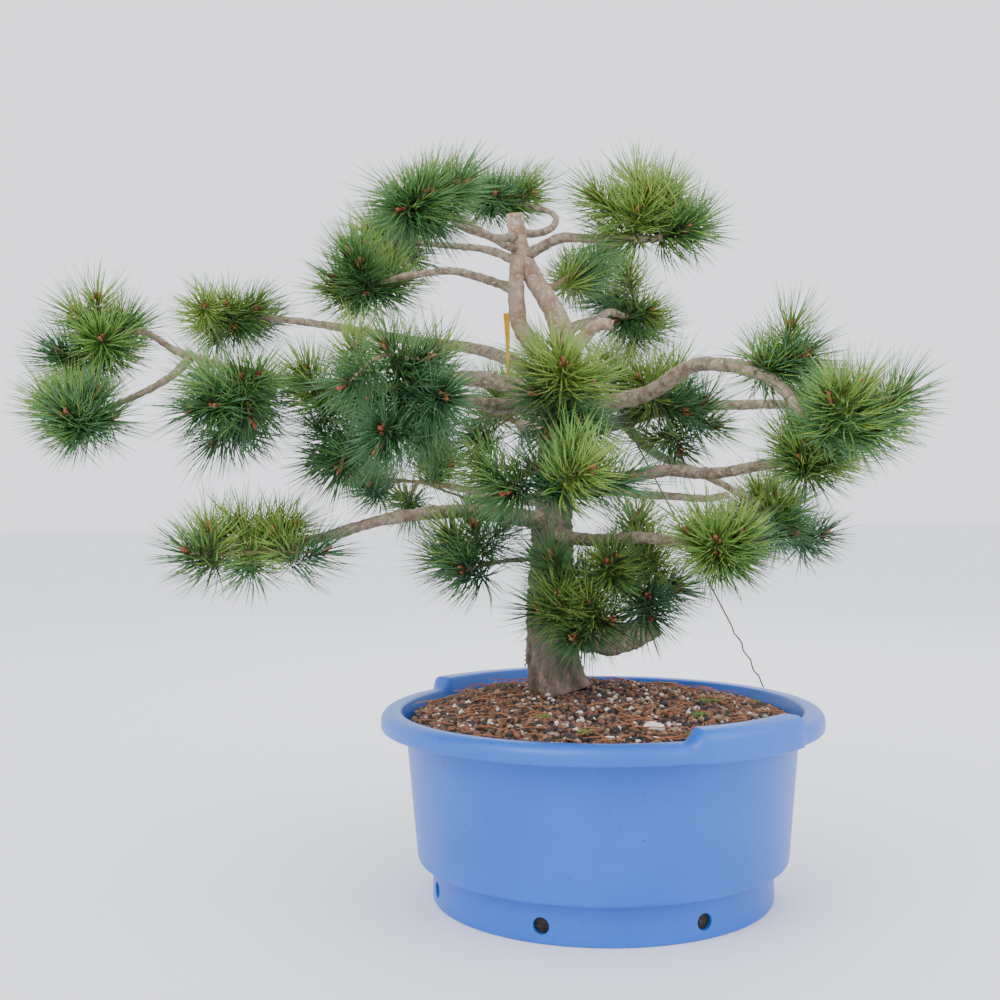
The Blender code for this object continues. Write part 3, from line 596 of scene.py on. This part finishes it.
@dataclass
class Foliage:
    """Twigs, needles and buds of every mass, grown by the rule of the solids and carried further."""

    skeleton: Skeleton
    masses: tuple[Mass, ...] = MASSES
    needles_per_shoot: int = 130
    needle_length: float = 0.047
    needle_radius: float = 0.00068
    extra_share: float = 0.9
    stem_radius: float = 0.0030
    twig_radius: float = 0.0021
    side_radius: float = 0.0016
    twig_taper: float = 0.4
    twig_sides: int = 8
    stem_steps: int = 9
    twig_steps: int = 8
    side_steps: int = 5
    side_setback: float = 0.022
    side_lengths: tuple[float, float] = (0.020, 0.030)
    spiral: float = 2.39996
    needled_length: float = 0.036
    flatness: float = 0.7
    # Tones from darkest to lightest: painted shade for low, downturned shoots and painted sunlight for high,
    # upturned ones, with a random spread of real tone.
    tones: tuple[Tone, ...] = (Tone.DEEP, Tone.BLUISH, Tone.MID, Tone.FRESH, Tone.SUNLIT)
    darkest_light: float = 0.42
    light_step: float = 0.115
    light_spread: float = 0.28
    light_rise: float = 0.35
    middle_height: float = 0.45
    routes: list[list[Vector]] = field(default_factory=list)
    radii: list[float] = field(default_factory=list)
    shoots: list[tuple[Vector, Vector, str]] = field(default_factory=list)

    def along(self, mass: Mass) -> Vector:
        """Direction along a mass's space, from its heading and its pitch.

        Args:
            mass: The mass.

        Returns:
            The direction.
        """
        heading, pitch = math.radians(mass.heading), math.radians(mass.pitch)
        return Vector((math.cos(pitch) * math.cos(heading), math.cos(pitch) * math.sin(heading),
                       math.sin(pitch)))

    def tips(self, mass: Mass, base: Vector, count: int) -> list[Vector]:
        """Places of a mass's shoots, as in the solids.

        Args:
            mass: The mass.
            base: Where its stem starts.
            count: How many shoots.

        Returns:
            The places.
        """
        rng = random.Random(mass.seed)
        heading = math.radians(mass.heading)
        along = self.along(mass)
        across = Vector((-math.sin(heading), math.cos(heading), 0))
        above = along.cross(across)
        centre = base + along * mass.out
        tips: list[Vector] = []
        for _ in range(count):
            best, room = centre, -1.0
            for _ in range(CANDIDATES):
                height = rng.uniform(-1, 1)
                turn = rng.uniform(0, math.tau)
                depth = rng.uniform(SHALLOWEST, 1)
                level = math.sqrt(1 - height * height)
                place = (centre + along * (depth * level * math.cos(turn) * mass.long / 2)
                         + across * (depth * level * math.sin(turn) * mass.wide / 2)
                         + above * (depth * height * mass.high / 2))
                nearest = min([(place - tip).length for tip in tips], default=1)
                if nearest > room:
                    best, room = place, nearest
            tips.append(best)
        return tips

    def bend(self, start: Vector, leave: Vector, tip: Vector, steps: int) -> list[Vector]:
        """Middle line of a twig that leaves along one direction and bends over to its tip.

        Args:
            start: Where it starts.
            leave: Direction that it leaves along.
            tip: Where it ends.
            steps: Steps along it.

        Returns:
            Its points.
        """
        middle = start + leave * ((tip - start).length * TWIG_LEAN)
        return [start * (1 - share) ** 2 + middle * (2 * share * (1 - share)) + tip * share ** 2
                for share in [step / steps for step in range(steps + 1)]]

    def grow(self, mass: Mass) -> None:
        """Grow one mass's twigs and note its shoots.

        Args:
            mass: The mass.
        """
        rng = random.Random(mass.name)
        base = self.skeleton.point(mass.limb, mass.at)
        tangent = (self.skeleton.point(mass.limb, 1) - self.skeleton.point(mass.limb, 0.93)).normalized()
        count = round(mass.shoots * (1 + self.extra_share / 2))
        tips = self.tips(mass, base, count)
        first = sorted(tips[:mass.shoots], key=lambda tip: -(tip - base).length)
        tips = first + tips[mass.shoots:]
        stem = self.bend(base, tangent if mass.at == 1 else self.along(mass), tips[0], self.stem_steps)
        self.routes.append(stem)
        self.radii.append(self.stem_radius)
        ends = [(stem[-1], (stem[-1] - stem[-2]).normalized())]
        length = (tips[0] - base).length
        for number, tip in enumerate(tips[1:]):
            share = (tip - base).dot((tips[0] - base).normalized()) / length - 0.3
            step = (min(max(share, 0.2), 0.75) + FORK_SPACING * (number % FORK_TURNS)) * self.stem_steps
            low = min(int(step), self.stem_steps - 1)
            route = self.bend(stem[low].lerp(stem[low + 1], step - low),
                              (stem[low + 1] - stem[low]).normalized(), tip, self.twig_steps)
            self.routes.append(route)
            self.radii.append(self.twig_radius)
            ends.append((tip, (route[-1] - route[-2]).normalized()))
        for tip, direction in ends:
            self.note_shoot(tip, direction, rng)
            if rng.random() < self.extra_share:
                side = Vector((rng.uniform(-1, 1), rng.uniform(-1, 1), rng.uniform(-0.2, 0.7))).normalized()
                start = tip - direction * self.side_setback
                end = start + (direction * 0.5 + side).normalized() * rng.uniform(*self.side_lengths)
                self.routes.append(self.bend(start, direction, end, self.side_steps))
                self.radii.append(self.side_radius)
                self.note_shoot(end, (end - start).normalized(), rng)

    def note_shoot(self, tip: Vector, direction: Vector, rng: random.Random) -> None:
        """Note a shoot's tip, its direction, turned up to the light, and its tone, which is painted light:
        lighter where the shoot faces up and stands high, darker where it faces down and sits low, with a
        random spread of real tone.

        Args:
            tip: The shoot's tip.
            direction: Direction of its twig there.
            rng: The mass's random numbers.
        """
        axis = (direction + Vector((0, 0, SHOOT_LIFT))).normalized()
        # Painted light: the tone grows lighter as the shoot faces up and stands higher, plus a random spread
        # of real tone.
        light = (0.5 * (axis.z + 1) + rng.uniform(-self.light_spread, self.light_spread)
                 + self.light_rise * (tip.z - self.middle_height))
        level = min(max(int((light - self.darkest_light) / self.light_step), 0), len(self.tones) - 1)
        self.shoots.append((tip, axis, self.tones[level].name))

    def needle_mesh(self, name: str, tone: str) -> bpy.types.Mesh | None:
        """Every needle of one tone, as one mesh from arrays.

        Args:
            name: Mesh name.
            tone: The tone's name.

        Returns:
            The mesh, or None if no shoot has that tone.
        """
        shoots = [(tip, axis) for tip, axis, kind in self.shoots if kind == tone]
        if not shoots:
            return None
        rng = np.random.default_rng(len(name) + len(shoots))
        count = self.needles_per_shoot
        tip = np.repeat(np.array([tuple(tip) for tip, _ in shoots]), count, axis=0)
        axis = np.repeat(np.array([tuple(axis) for _, axis in shoots]), count, axis=0)
        total = len(tip)
        pair = np.arange(total) // 2
        turn = (pair * self.spiral + rng.uniform(-0.15, 0.15, total))[:, None]
        back = (np.tile(np.repeat(np.linspace(0, 1, count // 2), 2), len(shoots)) ** 0.9)[:, None]
        helper = np.where(np.abs(axis[:, 2:3]) > 0.9, np.array([[1.0, 0, 0]]), np.array([[0, 0, 1.0]]))
        across = np.cross(axis, helper)
        across /= np.linalg.norm(across, axis=1, keepdims=True)
        other = np.cross(axis, across)
        spoke = across * np.cos(turn) + other * np.sin(turn)
        splay = np.radians(22 + 62 * back ** 0.7 + rng.normal(0, 9, (total, 1)))
        out = axis * np.cos(splay) + spoke * np.sin(splay)
        length = self.needle_length * rng.uniform(0.78, 1.12, (total, 1))
        root = tip + axis * (0.004 - self.needled_length * back) + spoke * 0.0012
        droop = axis * 0.16 + np.array([[0, 0, -0.05]]) + rng.normal(0, 0.05, (total, 3))
        middle = root + out * length * 0.5
        end = root + (out + droop) * length * 0.97
        over = np.clip((REACH_LOW - end) / np.maximum(root - end, 1e-6), 0, None)
        over = np.maximum(over, np.clip((end - REACH_HIGH) / np.maximum(end - root, 1e-6), 0, None))
        kept = 1 - np.clip(np.max(np.abs(over), axis=1, keepdims=True), 0, 0.75)
        middle, end = root + (middle - root) * kept, root + (end - root) * kept
        wide = np.cross(out, spoke + 0.3 * axis)
        wide /= np.linalg.norm(wide, axis=1, keepdims=True) + 1e-9
        thick = np.cross(out, wide)
        rings = []
        for centre, size in ((root, 1.0), (middle, 0.95)):
            for corner in range(3):
                angle = math.tau * corner / 3
                rings.append(centre + (wide * math.cos(angle) + thick * self.flatness * math.sin(angle))
                             * self.needle_radius * size)
        points = np.stack(rings + [end], axis=1).reshape(-1, 3)
        faces = [(2, 1, 0)]
        for corner in range(3):
            after = (corner + 1) % 3
            faces += [(corner, after, 3 + after), (corner, 3 + after, 3 + corner),
                      (3 + corner, 3 + after, 6)]
        index = (np.array(faces)[None] + 7 * np.arange(total)[:, None, None]).reshape(-1, 3)
        return mesh_from_arrays(name, points, index)

    def build(self, twig: bpy.types.Material, bud: bpy.types.Material) -> None:
        """Build and dress the twigs, the needles and the buds.

        Args:
            twig: Finish of the twigs.
            bud: Finish of the buds.
        """
        for mass in self.masses:
            self.grow(mass)
        bm = bmesh.new()
        for route, radius in zip(self.routes, self.radii):
            steps = len(route) - 1
            join_into(bm, ringed(route, lambda step, turn, spoke, thick=radius, last=steps:
                                 thick * (1 - self.twig_taper * step / last)
                                 * (1 + 0.16 * math.sin(turn * 2 + step * 2.4)), self.twig_sides))
        piece = add_piece("fine_twigs", mesh_of("fine_twigs", bm), twig)
        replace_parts(piece, *[mass.name for mass in self.masses])
        for tone in Tone:
            mesh = self.needle_mesh("needles_" + tone.name.lower(), tone.name)
            if mesh:
                # One needle material for each tone: lit and shaded copies of the needle green, that is
                # painted shade and painted sunlight, with random real tone.
                finish = plain_finish("needle_" + tone.name.lower(), tone.value, 0.42)
                add_piece("needles_" + tone.name.lower(), mesh, finish)
        self.build_buds(bud)

    def build_buds(self, bud: bpy.types.Material) -> None:
        """Resinous buds: a middle one and smaller ones round it at each shoot's tip.

        Args:
            bud: Their finish.
        """
        rng = random.Random(5)
        bm = bmesh.new()
        for tip, axis, _ in self.shoots:
            turn = axis.to_track_quat("Z", "Y").to_matrix().to_4x4()
            for number in range(rng.choice((2, 3, 4))):
                angle = rng.uniform(0, math.tau)
                lean = Vector((math.cos(angle), math.sin(angle), 0)) * (0 if number == 0 else 0.0042)
                size = 0.0026 if number == 0 else 0.0018
                place = tip + axis * (0.007 - 0.002 * (number > 0)) + turn.to_3x3() @ lean
                matrix = Matrix.Translation(place) @ turn @ Matrix.Diagonal((size, size, size * 2.6, 1))
                bmesh.ops.create_icosphere(bm, subdivisions=1, radius=1, matrix=matrix)
        add_piece("buds", mesh_of("buds", bm), bud)


def mesh_from_arrays(name: str, points: np.ndarray, faces: np.ndarray) -> bpy.types.Mesh:
    """A mesh from arrays of points and of triangles.

    Args:
        name: Mesh name.
        points: One row for each point.
        faces: One row of three point numbers for each triangle.

    Returns:
        The mesh.
    """
    mesh = bpy.data.meshes.new(name)
    mesh.vertices.add(len(points))
    mesh.vertices.foreach_set("co", points.astype(np.float32).ravel())
    mesh.loops.add(faces.size)
    mesh.loops.foreach_set("vertex_index", faces.astype(np.int32).ravel())
    mesh.polygons.add(len(faces))
    mesh.polygons.foreach_set("loop_start", np.arange(0, faces.size, 3, dtype=np.int32))
    mesh.update(calc_edges=True)
    return mesh


@dataclass
class Tub:
    """The blue tub: stepped foot, tapering body, turned-down lip and two raised handles."""

    rim_radius: float = 0.225
    rim_height: float = 0.192
    lip_depth: float = 0.0185
    mouth_radius: float = 0.2036
    body_top: float = 0.200
    body_foot: float = 0.1888
    foot_radius: float = 0.1735
    foot_height: float = 0.040
    wall: float = 0.004
    headings: tuple[float, float] = (305.25, 125.25)
    handle_half: float = 15.6
    handle_ramp: float = 2.6
    handle_rise: float = 0.012
    handle_proud: float = 0.004
    drain_count: int = 7
    drain_first: float = 247.0
    drain_radius: float = 0.008
    drain_height: float = 0.017
    sides: int = 240

    def inner_radius(self, height: float) -> float:
        """Radius of the inner face at a height.

        Args:
            height: Height over the underside.

        Returns:
            The radius.
        """
        low, high = self.foot_height + 2 * self.wall, self.rim_height - self.lip_depth
        share = (height - low) / (high - low)
        return self.body_foot - self.wall + share * (self.body_top - self.body_foot)

    def outline(self) -> list[tuple[float, float]]:
        """Outline of the wall, from the axis under the foot back to the axis inside.

        Returns:
            Radius and height of each point.
        """
        low = self.rim_height - self.lip_depth
        line = [(0, 0), (self.foot_radius - 0.002, 0)]
        line += self.corner(self.foot_radius - 0.002, 0.002, 0.002, -90, 0)
        line += [(self.foot_radius, self.foot_height - 0.001), (self.foot_radius + 0.001, self.foot_height)]
        line += self.corner(self.body_foot - 0.004, self.foot_height + 0.0045, 0.004, -90, 0)
        line += [(self.body_top, low + 0.001), (self.rim_radius - 0.004, low + 0.0002)]
        line += self.corner(self.rim_radius - 0.003, low + 0.003, 0.003, -80, 0)
        line += self.corner(self.rim_radius - 0.0105, self.rim_height - 0.0105, 0.0105, 0, 90)
        line += self.corner(self.mouth_radius + 0.0045, self.rim_height - 0.0045, 0.0045, 90, 180)
        line += [(self.inner_radius(low), low), (self.inner_radius(0.05), 0.05),
                 (self.foot_radius - self.wall, self.foot_height + self.wall),
                 (self.foot_radius - self.wall, self.wall), (0, self.wall)]
        return line

    def corner(self, radius: float, height: float, size: float, start: float,
               end: float) -> list[tuple[float, float]]:
        """A rounded corner of the outline, as points on an arc.

        Args:
            radius: Distance of the arc's middle from the tub's axis.
            height: Height of the arc's middle.
            size: Radius of the arc.
            start: Turn at its start, in degrees.
            end: Turn at its end, in degrees.

        Returns:
            Radius and height of each point.
        """
        turns = [math.radians(start + (end - start) * step / 6) for step in range(7)]
        return [(radius + size * math.cos(turn), height + size * math.sin(turn)) for turn in turns]

    def build(self, plastic: bpy.types.Material) -> None:
        """Turn the wall, raise the handles and bore the drain holes.

        Args:
            plastic: The tub's finish.
        """
        bm = bmesh.new()
        line = [bm.verts.new((radius, 0, height)) for radius, height in self.outline()]
        edges = [bm.edges.new(pair) for pair in zip(line, line[1:])]
        bmesh.ops.spin(bm, geom=line + edges, cent=(0, 0, 0), axis=(0, 0, 1), angle=math.tau,
                       steps=self.sides, use_merge=True)
        bmesh.ops.remove_doubles(bm, verts=bm.verts, dist=1e-6)
        bmesh.ops.recalc_face_normals(bm, faces=bm.faces)
        for vertex in bm.verts:
            self.raise_handle(vertex)
        tub = add_piece("blue_tub", mesh_of("blue_tub", bm), plastic)
        cutters = bmesh.new()
        for number in range(self.drain_count):
            heading = math.radians(self.drain_first + number * 360 / self.drain_count)
            outward = Vector((math.cos(heading), math.sin(heading), 0))
            matrix = (Matrix.Translation(outward * self.foot_radius + Vector((0, 0, self.drain_height)))
                      @ outward.to_track_quat("Z", "Y").to_matrix().to_4x4())
            bmesh.ops.create_cone(cutters, cap_ends=True, segments=24, radius1=self.drain_radius,
                                  radius2=self.drain_radius, depth=0.03, matrix=matrix)
        cutter = bpy.data.objects.new("drains", mesh_of("drains", cutters))
        bpy.context.scene.collection.objects.link(cutter)
        modifier = tub.modifiers.new("drains", "BOOLEAN")
        modifier.operation = "DIFFERENCE"
        modifier.object = cutter
        evaluated = tub.evaluated_get(bpy.context.evaluated_depsgraph_get())
        mesh = bpy.data.meshes.new_from_object(evaluated)
        tub.modifiers.clear()
        tub.data = mesh
        tub.data.shade_smooth()
        tub.data.set_sharp_from_angle(angle=math.radians(38))
        bpy.data.objects.remove(cutter)
        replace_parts(tub, "tub")

    def raise_handle(self, vertex: bmesh.types.BMVert) -> None:
        """Lift a point of the lip where it lies on a handle.

        Args:
            vertex: The point, which is moved.
        """
        radius = math.hypot(vertex.co.x, vertex.co.y)
        under_lip = self.rim_height - self.lip_depth - 0.001
        if radius < self.mouth_radius - 0.001 or vertex.co.z < under_lip:
            return
        heading = math.degrees(math.atan2(vertex.co.y, vertex.co.x))
        apart = min(abs((heading - middle + 180) % 360 - 180) for middle in self.headings)
        share = min(max((self.handle_half + self.handle_ramp - apart) / self.handle_ramp, 0), 1)
        share = share * share * (3 - 2 * share)
        if vertex.co.z > self.rim_height - 0.0108:
            vertex.co.z += self.handle_rise * share
        if radius > self.rim_radius - 0.012:
            push = self.handle_proud * share / radius
            vertex.co.x += vertex.co.x * push
            vertex.co.y += vertex.co.y * push


@dataclass
class Soil:
    """The soil's mounded surface, with granules, fallen needles and moss lying on it."""

    tub: Tub
    crest_radius: float = 0.046
    rings: int = 26
    sides: int = 120
    granules: int = 7000
    granule_radii: tuple[float, float] = (0.0017, 0.0042)
    granule_jag: float = 0.28
    granule_flatness: float = 0.8
    granule_lift: float = 0.0010
    stones: tuple[tuple[float, float, float], ...] = ((0.30, -1.22, 0.0115), (0.20, -1.55, 0.006),
                                                      (0.17, -1.30, 0.0055))
    fallen: int = 260
    fallen_radius: float = 0.0006
    fallen_lengths: tuple[float, float] = (0.016, 0.034)
    fallen_limit: float = 0.195
    cushions: int = 16
    tufts: int = 14
    cushion_radius: float = 0.007
    tuft_radii: tuple[float, float] = (0.0012, 0.0026)

    def height(self, share: float) -> float:
        """Height of the surface a share of the way from the wall to the trunk."""
        return SOIL_EDGE_HEIGHT + (SOIL_CREST_HEIGHT - SOIL_EDGE_HEIGHT) * (1 - (1 - share) ** 2)

    def place(self, share: float, turn: float) -> Vector:
        """Point on the surface.

        Args:
            share: Share of the way in: 0 at the wall, 1 at the crest, and more on the crest itself.
            turn: Turn round the tub's axis.

        Returns:
            The point.
        """
        edge = self.tub.inner_radius(SOIL_EDGE_HEIGHT) - GAP
        radius = edge + (self.crest_radius - edge) * share
        inner = min(share, 1)
        return Vector((TRUNK_FOOT.x * inner + radius * math.cos(turn),
                       TRUNK_FOOT.y * inner + radius * math.sin(turn), self.height(inner)))

    def build(self, earth: bpy.types.Material, moss: bpy.types.Material) -> None:
        """Build the surface and what lies on it.

        Args:
            earth: Finish of the surface.
            moss: Finish of the moss.
        """
        bm = bmesh.new()
        step, inside = self.tub.foot_height + 2 * self.tub.wall, self.tub.foot_radius - self.tub.wall - GAP
        levels = ((inside, self.tub.wall + GAP), (inside, step),
                  (self.tub.inner_radius(step) - 10 * GAP, step + 10 * GAP))
        rows = [[bm.verts.new((radius * math.cos(turn), radius * math.sin(turn), height))
                 for turn in [math.tau * side / self.sides for side in range(self.sides)]]
                for radius, height in levels]
        for ring in range(self.rings + 1):
            row = []
            for side in range(self.sides):
                point = self.place(ring / self.rings, math.tau * side / self.sides)
                point.z -= 0.0018 * abs(noise.noise(point * 90)) if ring else 0
                row.append(bm.verts.new(point))
            rows.append(row)
        for lower, upper in zip(rows, rows[1:]):
            for side in range(self.sides):
                after = (side + 1) % self.sides
                bm.faces.new((lower[side], lower[after], upper[after], upper[side]))
        bm.faces.new(rows[-1])
        bm.faces.new(list(reversed(rows[0])))
        surface = add_piece("soil_surface", mesh_of("soil_surface", bm), earth)
        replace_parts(surface, "soil")
        self.scatter()
        self.lay_needles()
        self.grow_moss(moss)

    def scatter(self) -> None:
        """Granules of each kind, jagged and half sunk in the surface."""
        bm = bmesh.new()
        bmesh.ops.create_icosphere(bm, subdivisions=1, radius=1)
        shape = np.array([tuple(vertex.co) for vertex in bm.verts])
        faces = np.array([[vertex.index for vertex in face.verts] for face in bm.faces])
        bm.free()
        for number, stone in enumerate(Stone):
            rng = np.random.default_rng(11 + number)
            count = int(self.granules * stone.value[1])
            size = rng.uniform(*self.granule_radii, (count, 1, 1)) * rng.uniform(0.6, 1.25, (count, 1, 3))
            unevenness = rng.uniform(-self.granule_jag, self.granule_jag, (count, len(shape), 1))
            turn = rng.uniform(0, math.tau, (count, 1))
            local = shape[None] * (1 + unevenness) * size
            x = local[..., 0] * np.cos(turn) - local[..., 1] * np.sin(turn)
            y = local[..., 0] * np.sin(turn) + local[..., 1] * np.cos(turn)
            share = 1.2 - 1.16 * np.sqrt(rng.uniform(0, 1, count))
            turns = rng.uniform(0, math.tau, count)
            at = np.array([tuple(self.place(inward, round_tub)) for inward, round_tub in zip(share, turns)])
            z = local[..., 2] * self.granule_flatness
            points = np.stack([x, y, z], axis=2) + at[:, None] + np.array([0, 0, self.granule_lift])
            index = (faces[None] + len(shape) * np.arange(count)[:, None, None]).reshape(-1, 3)
            mesh = mesh_from_arrays("granules_" + stone.name.lower(), points.reshape(-1, 3), index)
            finish = plain_finish("stone_" + stone.name.lower(), stone.value[0], 0.95)
            add_piece("granules_" + stone.name.lower(), mesh, finish, smooth=False)
        bm = bmesh.new()
        for share, turn, size in self.stones:
            matrix = (Matrix.Translation(self.place(share, turn))
                      @ Matrix.Diagonal((size, size * 0.8, size * 0.6, 1)))
            made = bmesh.ops.create_icosphere(bm, subdivisions=3, radius=1, matrix=matrix)
            for vertex in made["verts"]:
                vertex.co += noise.noise_vector(vertex.co * 170) * size * 0.35
        add_piece("pale_stones", mesh_of("pale_stones", bm),
                  plain_finish("pale_stone", (0.74, 0.70, 0.62), 0.9))

    def lay_needles(self) -> None:
        """Fallen dry needles lying about on the soil."""
        rng = random.Random(21)
        bm = bmesh.new()
        for _ in range(self.fallen):
            start = self.place(1 - math.sqrt(rng.uniform(0.05, 0.95)), rng.uniform(0, math.tau))
            turn = rng.uniform(0, math.tau)
            run = Vector((math.cos(turn), math.sin(turn), 0)) * rng.uniform(*self.fallen_lengths)
            end = start + run
            if math.hypot(end.x, end.y) > self.fallen_limit:
                end = start - run
            lift = Vector((0, 0, 0.0042))
            middle = (start + end) / 2 + Vector((0, 0, 0.0055)) + Vector((run.y, -run.x, 0)) * 0.08
            join_into(bm, ringed([start + lift, middle, end + lift],
                                 lambda step, angle, spoke: self.fallen_radius, 4))
        add_piece("fallen_needles", mesh_of("fallen_needles", bm),
                  plain_finish("dry_needle", (0.34, 0.13, 0.05), 0.7))

    def grow_moss(self, moss: bpy.types.Material) -> None:
        """Small cushions of moss on the soil.

        Args:
            moss: Their finish.
        """
        rng = random.Random(8)
        bm = bmesh.new()
        for _ in range(self.cushions):
            centre = self.place(1 - math.sqrt(rng.uniform(0.1, 0.9)), rng.uniform(0, math.tau))
            for _ in range(self.tufts):
                turn = rng.uniform(0, math.tau)
                outward = Vector((math.cos(turn), math.sin(turn), 0))
                place = centre + outward * rng.uniform(0, self.cushion_radius)
                size = rng.uniform(*self.tuft_radii)
                matrix = Matrix.Translation(place + Vector((0, 0, 0.0028))) @ Matrix.Diagonal(
                    (size, size, size * 1.3, 1))
                bmesh.ops.create_icosphere(bm, subdivisions=1, radius=1, matrix=matrix)
        add_piece("moss_cushions", mesh_of("moss_cushions", bm), moss)


@dataclass
class Trimmings:
    """The guy wires with their twisted ends, and the blank yellow tag."""

    skeleton: Skeleton
    wire_radius: float = 0.0008
    rim_radius: float = 0.2146
    rim_height: float = 0.192
    handle_rise: float = 0.012
    wire_sides: int = 8
    wire_steps: int = 60
    twist_start: int = 50
    twist: float = 1.9
    twist_radius: float = 0.0014
    tag_steps: int = 8
    tag_half_width: float = 0.0034
    tag_taper: float = 0.75
    tag_drop: float = 0.066
    tag_thickness: float = 0.0006

    def build(self, wire: bpy.types.Material, tag: bpy.types.Material) -> None:
        """Build the wires and the tag.

        Args:
            wire: Finish of the wires.
            tag: Finish of the tag.
        """
        runs = (("right_guy_wire", "leader_stub", 0.45, Vector((0.0, 0.3, -0.95)), 29.0, 0.0),
                ("left_guy_wire", "trunk", 0.36, Vector((-0.8, 0.6, 0.0)), 110.0, self.handle_rise))
        for name, tied_to, share, side, heading, lift in runs:
            limb = self.skeleton.named[tied_to]
            top = self.skeleton.point(tied_to, share)
            top += side.normalized() * (self.skeleton.radius(limb, share) + self.wire_radius + GAP)
            turn = math.radians(heading)
            foot = Vector((self.rim_radius * math.cos(turn), self.rim_radius * math.sin(turn),
                           self.rim_height + lift + GAP + self.wire_radius))
            route = [top.lerp(foot, step / self.wire_steps) for step in range(self.wire_steps + 1)]
            across = (foot - top).normalized().orthogonal().normalized()
            other = (foot - top).normalized().cross(across)
            for step in range(self.twist_start, self.wire_steps):
                angle = step * self.twist
                route[step] += (across * math.cos(angle) + other * math.sin(angle)) * self.twist_radius
            strand = ringed(route, lambda step, angle, spoke: self.wire_radius, self.wire_sides)
            mesh = mesh_of(name, strand)
            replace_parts(add_piece(name + "_twisted", mesh, wire), name)
        self.hang_tag(tag)

    def hang_tag(self, tag: bpy.types.Material) -> None:
        """The blank tag, hanging behind the left leader and tapering down.

        Args:
            tag: Its finish.
        """
        top = self.skeleton.point("left_leader", 0.62) + Vector((-0.011, 0.011, 0))
        bm = bmesh.new()
        rows = []
        for step in range(self.tag_steps + 1):
            share = step / self.tag_steps
            wide = self.tag_half_width * (1 - self.tag_taper * share)
            middle = top + Vector((0.001 * math.sin(3 * share), 0.004 * share, -self.tag_drop * share))
            rows.append([bm.verts.new(middle + Vector((offset, 0, 0))) for offset in (-wide, wide)])
        for upper, lower in zip(rows, rows[1:]):
            bm.faces.new((upper[0], lower[0], lower[1], upper[1]))
        bmesh.ops.solidify(bm, geom=bm.faces[:], thickness=self.tag_thickness)
        bmesh.ops.recalc_face_normals(bm, faces=bm.faces)
        add_piece("blank_tag", mesh_of("blank_tag", bm), tag, smooth=False)


@dataclass(frozen=True)
class Lamp:
    """A soft area light that looks at the middle of the tree."""

    name: str
    spot: tuple[float, float, float]
    power: float
    size: float

    def build(self, target: Vector) -> None:
        """Hang the lamp.

        Args:
            target: Point that it looks at.
        """
        lamp = bpy.data.objects.new(self.name, bpy.data.lights.new(self.name, "AREA"))
        lamp.data.energy = self.power
        lamp.data.size = self.size
        turn = (target - Vector(self.spot)).to_track_quat("-Z", "Y")
        lamp.matrix_world = Matrix.Translation(self.spot) @ turn.to_matrix().to_4x4()
        bpy.context.scene.collection.objects.link(lamp)


@dataclass(frozen=True)
class Studio:
    """Camera, lights and floor."""

    lens: float = 48.82
    place: tuple[float, float, float] = (-0.1013, -1.391, 0.419)
    pitch: float = 0.0110
    roll: float = -0.0095
    sensor: float = 36
    middle: tuple[float, float, float] = (0, 0, 0.4)
    lamps: tuple[Lamp, ...] = (Lamp("key", (-1.3, -1.6, 2.2), 42, 1.6),
                               Lamp("fill", (1.8, -1.2, 1.3), 22, 1.8),
                               Lamp("back", (0.4, 2.0, 2.0), 26, 1.8))
    sky: tuple[float, float, float] = (0.93, 0.95, 1.0)
    sky_strength: float = 1.8
    floor_colour: tuple[float, float, float] = (0.86, 0.87, 0.90)
    floor_size: float = 12

    def build(self) -> None:
        """Set up the camera at the photo's viewing angle, soft lights and a pale floor."""
        camera = bpy.data.objects.new("camera", bpy.data.cameras.new("camera"))
        camera.data.sensor_width = self.sensor
        camera.data.lens = self.lens
        camera.data.clip_start = 0.01
        camera.matrix_world = (Matrix.Translation(self.place)
                               @ Matrix.Rotation(math.pi / 2 - self.pitch, 4, "X")
                               @ Matrix.Rotation(self.roll, 4, "Z"))
        bpy.context.scene.collection.objects.link(camera)
        bpy.context.scene.camera = camera
        for lamp in self.lamps:
            lamp.build(Vector(self.middle))
        world = bpy.data.worlds.new("studio")
        world.use_nodes = True
        background = world.node_tree.nodes["Background"]
        background.inputs["Color"].default_value = (*self.sky, 1)
        background.inputs["Strength"].default_value = self.sky_strength
        bpy.context.scene.world = world
        bm = bmesh.new()
        bmesh.ops.create_grid(bm, x_segments=1, y_segments=1, size=self.floor_size)
        mesh = mesh_of("floor", bm)
        mesh.materials.append(plain_finish("pale_floor", self.floor_colour, 0.8))
        floor = bpy.data.objects.new("floor", mesh)
        bpy.context.scene.collection.objects.link(floor)


def main() -> None:
    """Build every piece."""
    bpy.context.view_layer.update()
    Studio().build()
    skeleton = Skeleton()
    skeleton.build(OLD_BARK.material(), BOUGH_BARK.material(), YOUNG_BARK.material())
    Foliage(skeleton).build(TWIG_BARK.material(), BUD_SCALE.material())
    tub = Tub()
    tub.build(BLUE_PLASTIC.material())
    Soil(tub).build(EARTH.material(), MOSS.material())
    Trimmings(skeleton).build(DARK_WIRE.material(), YELLOW_TAG.material())


if __name__ == "__main__":
    main()
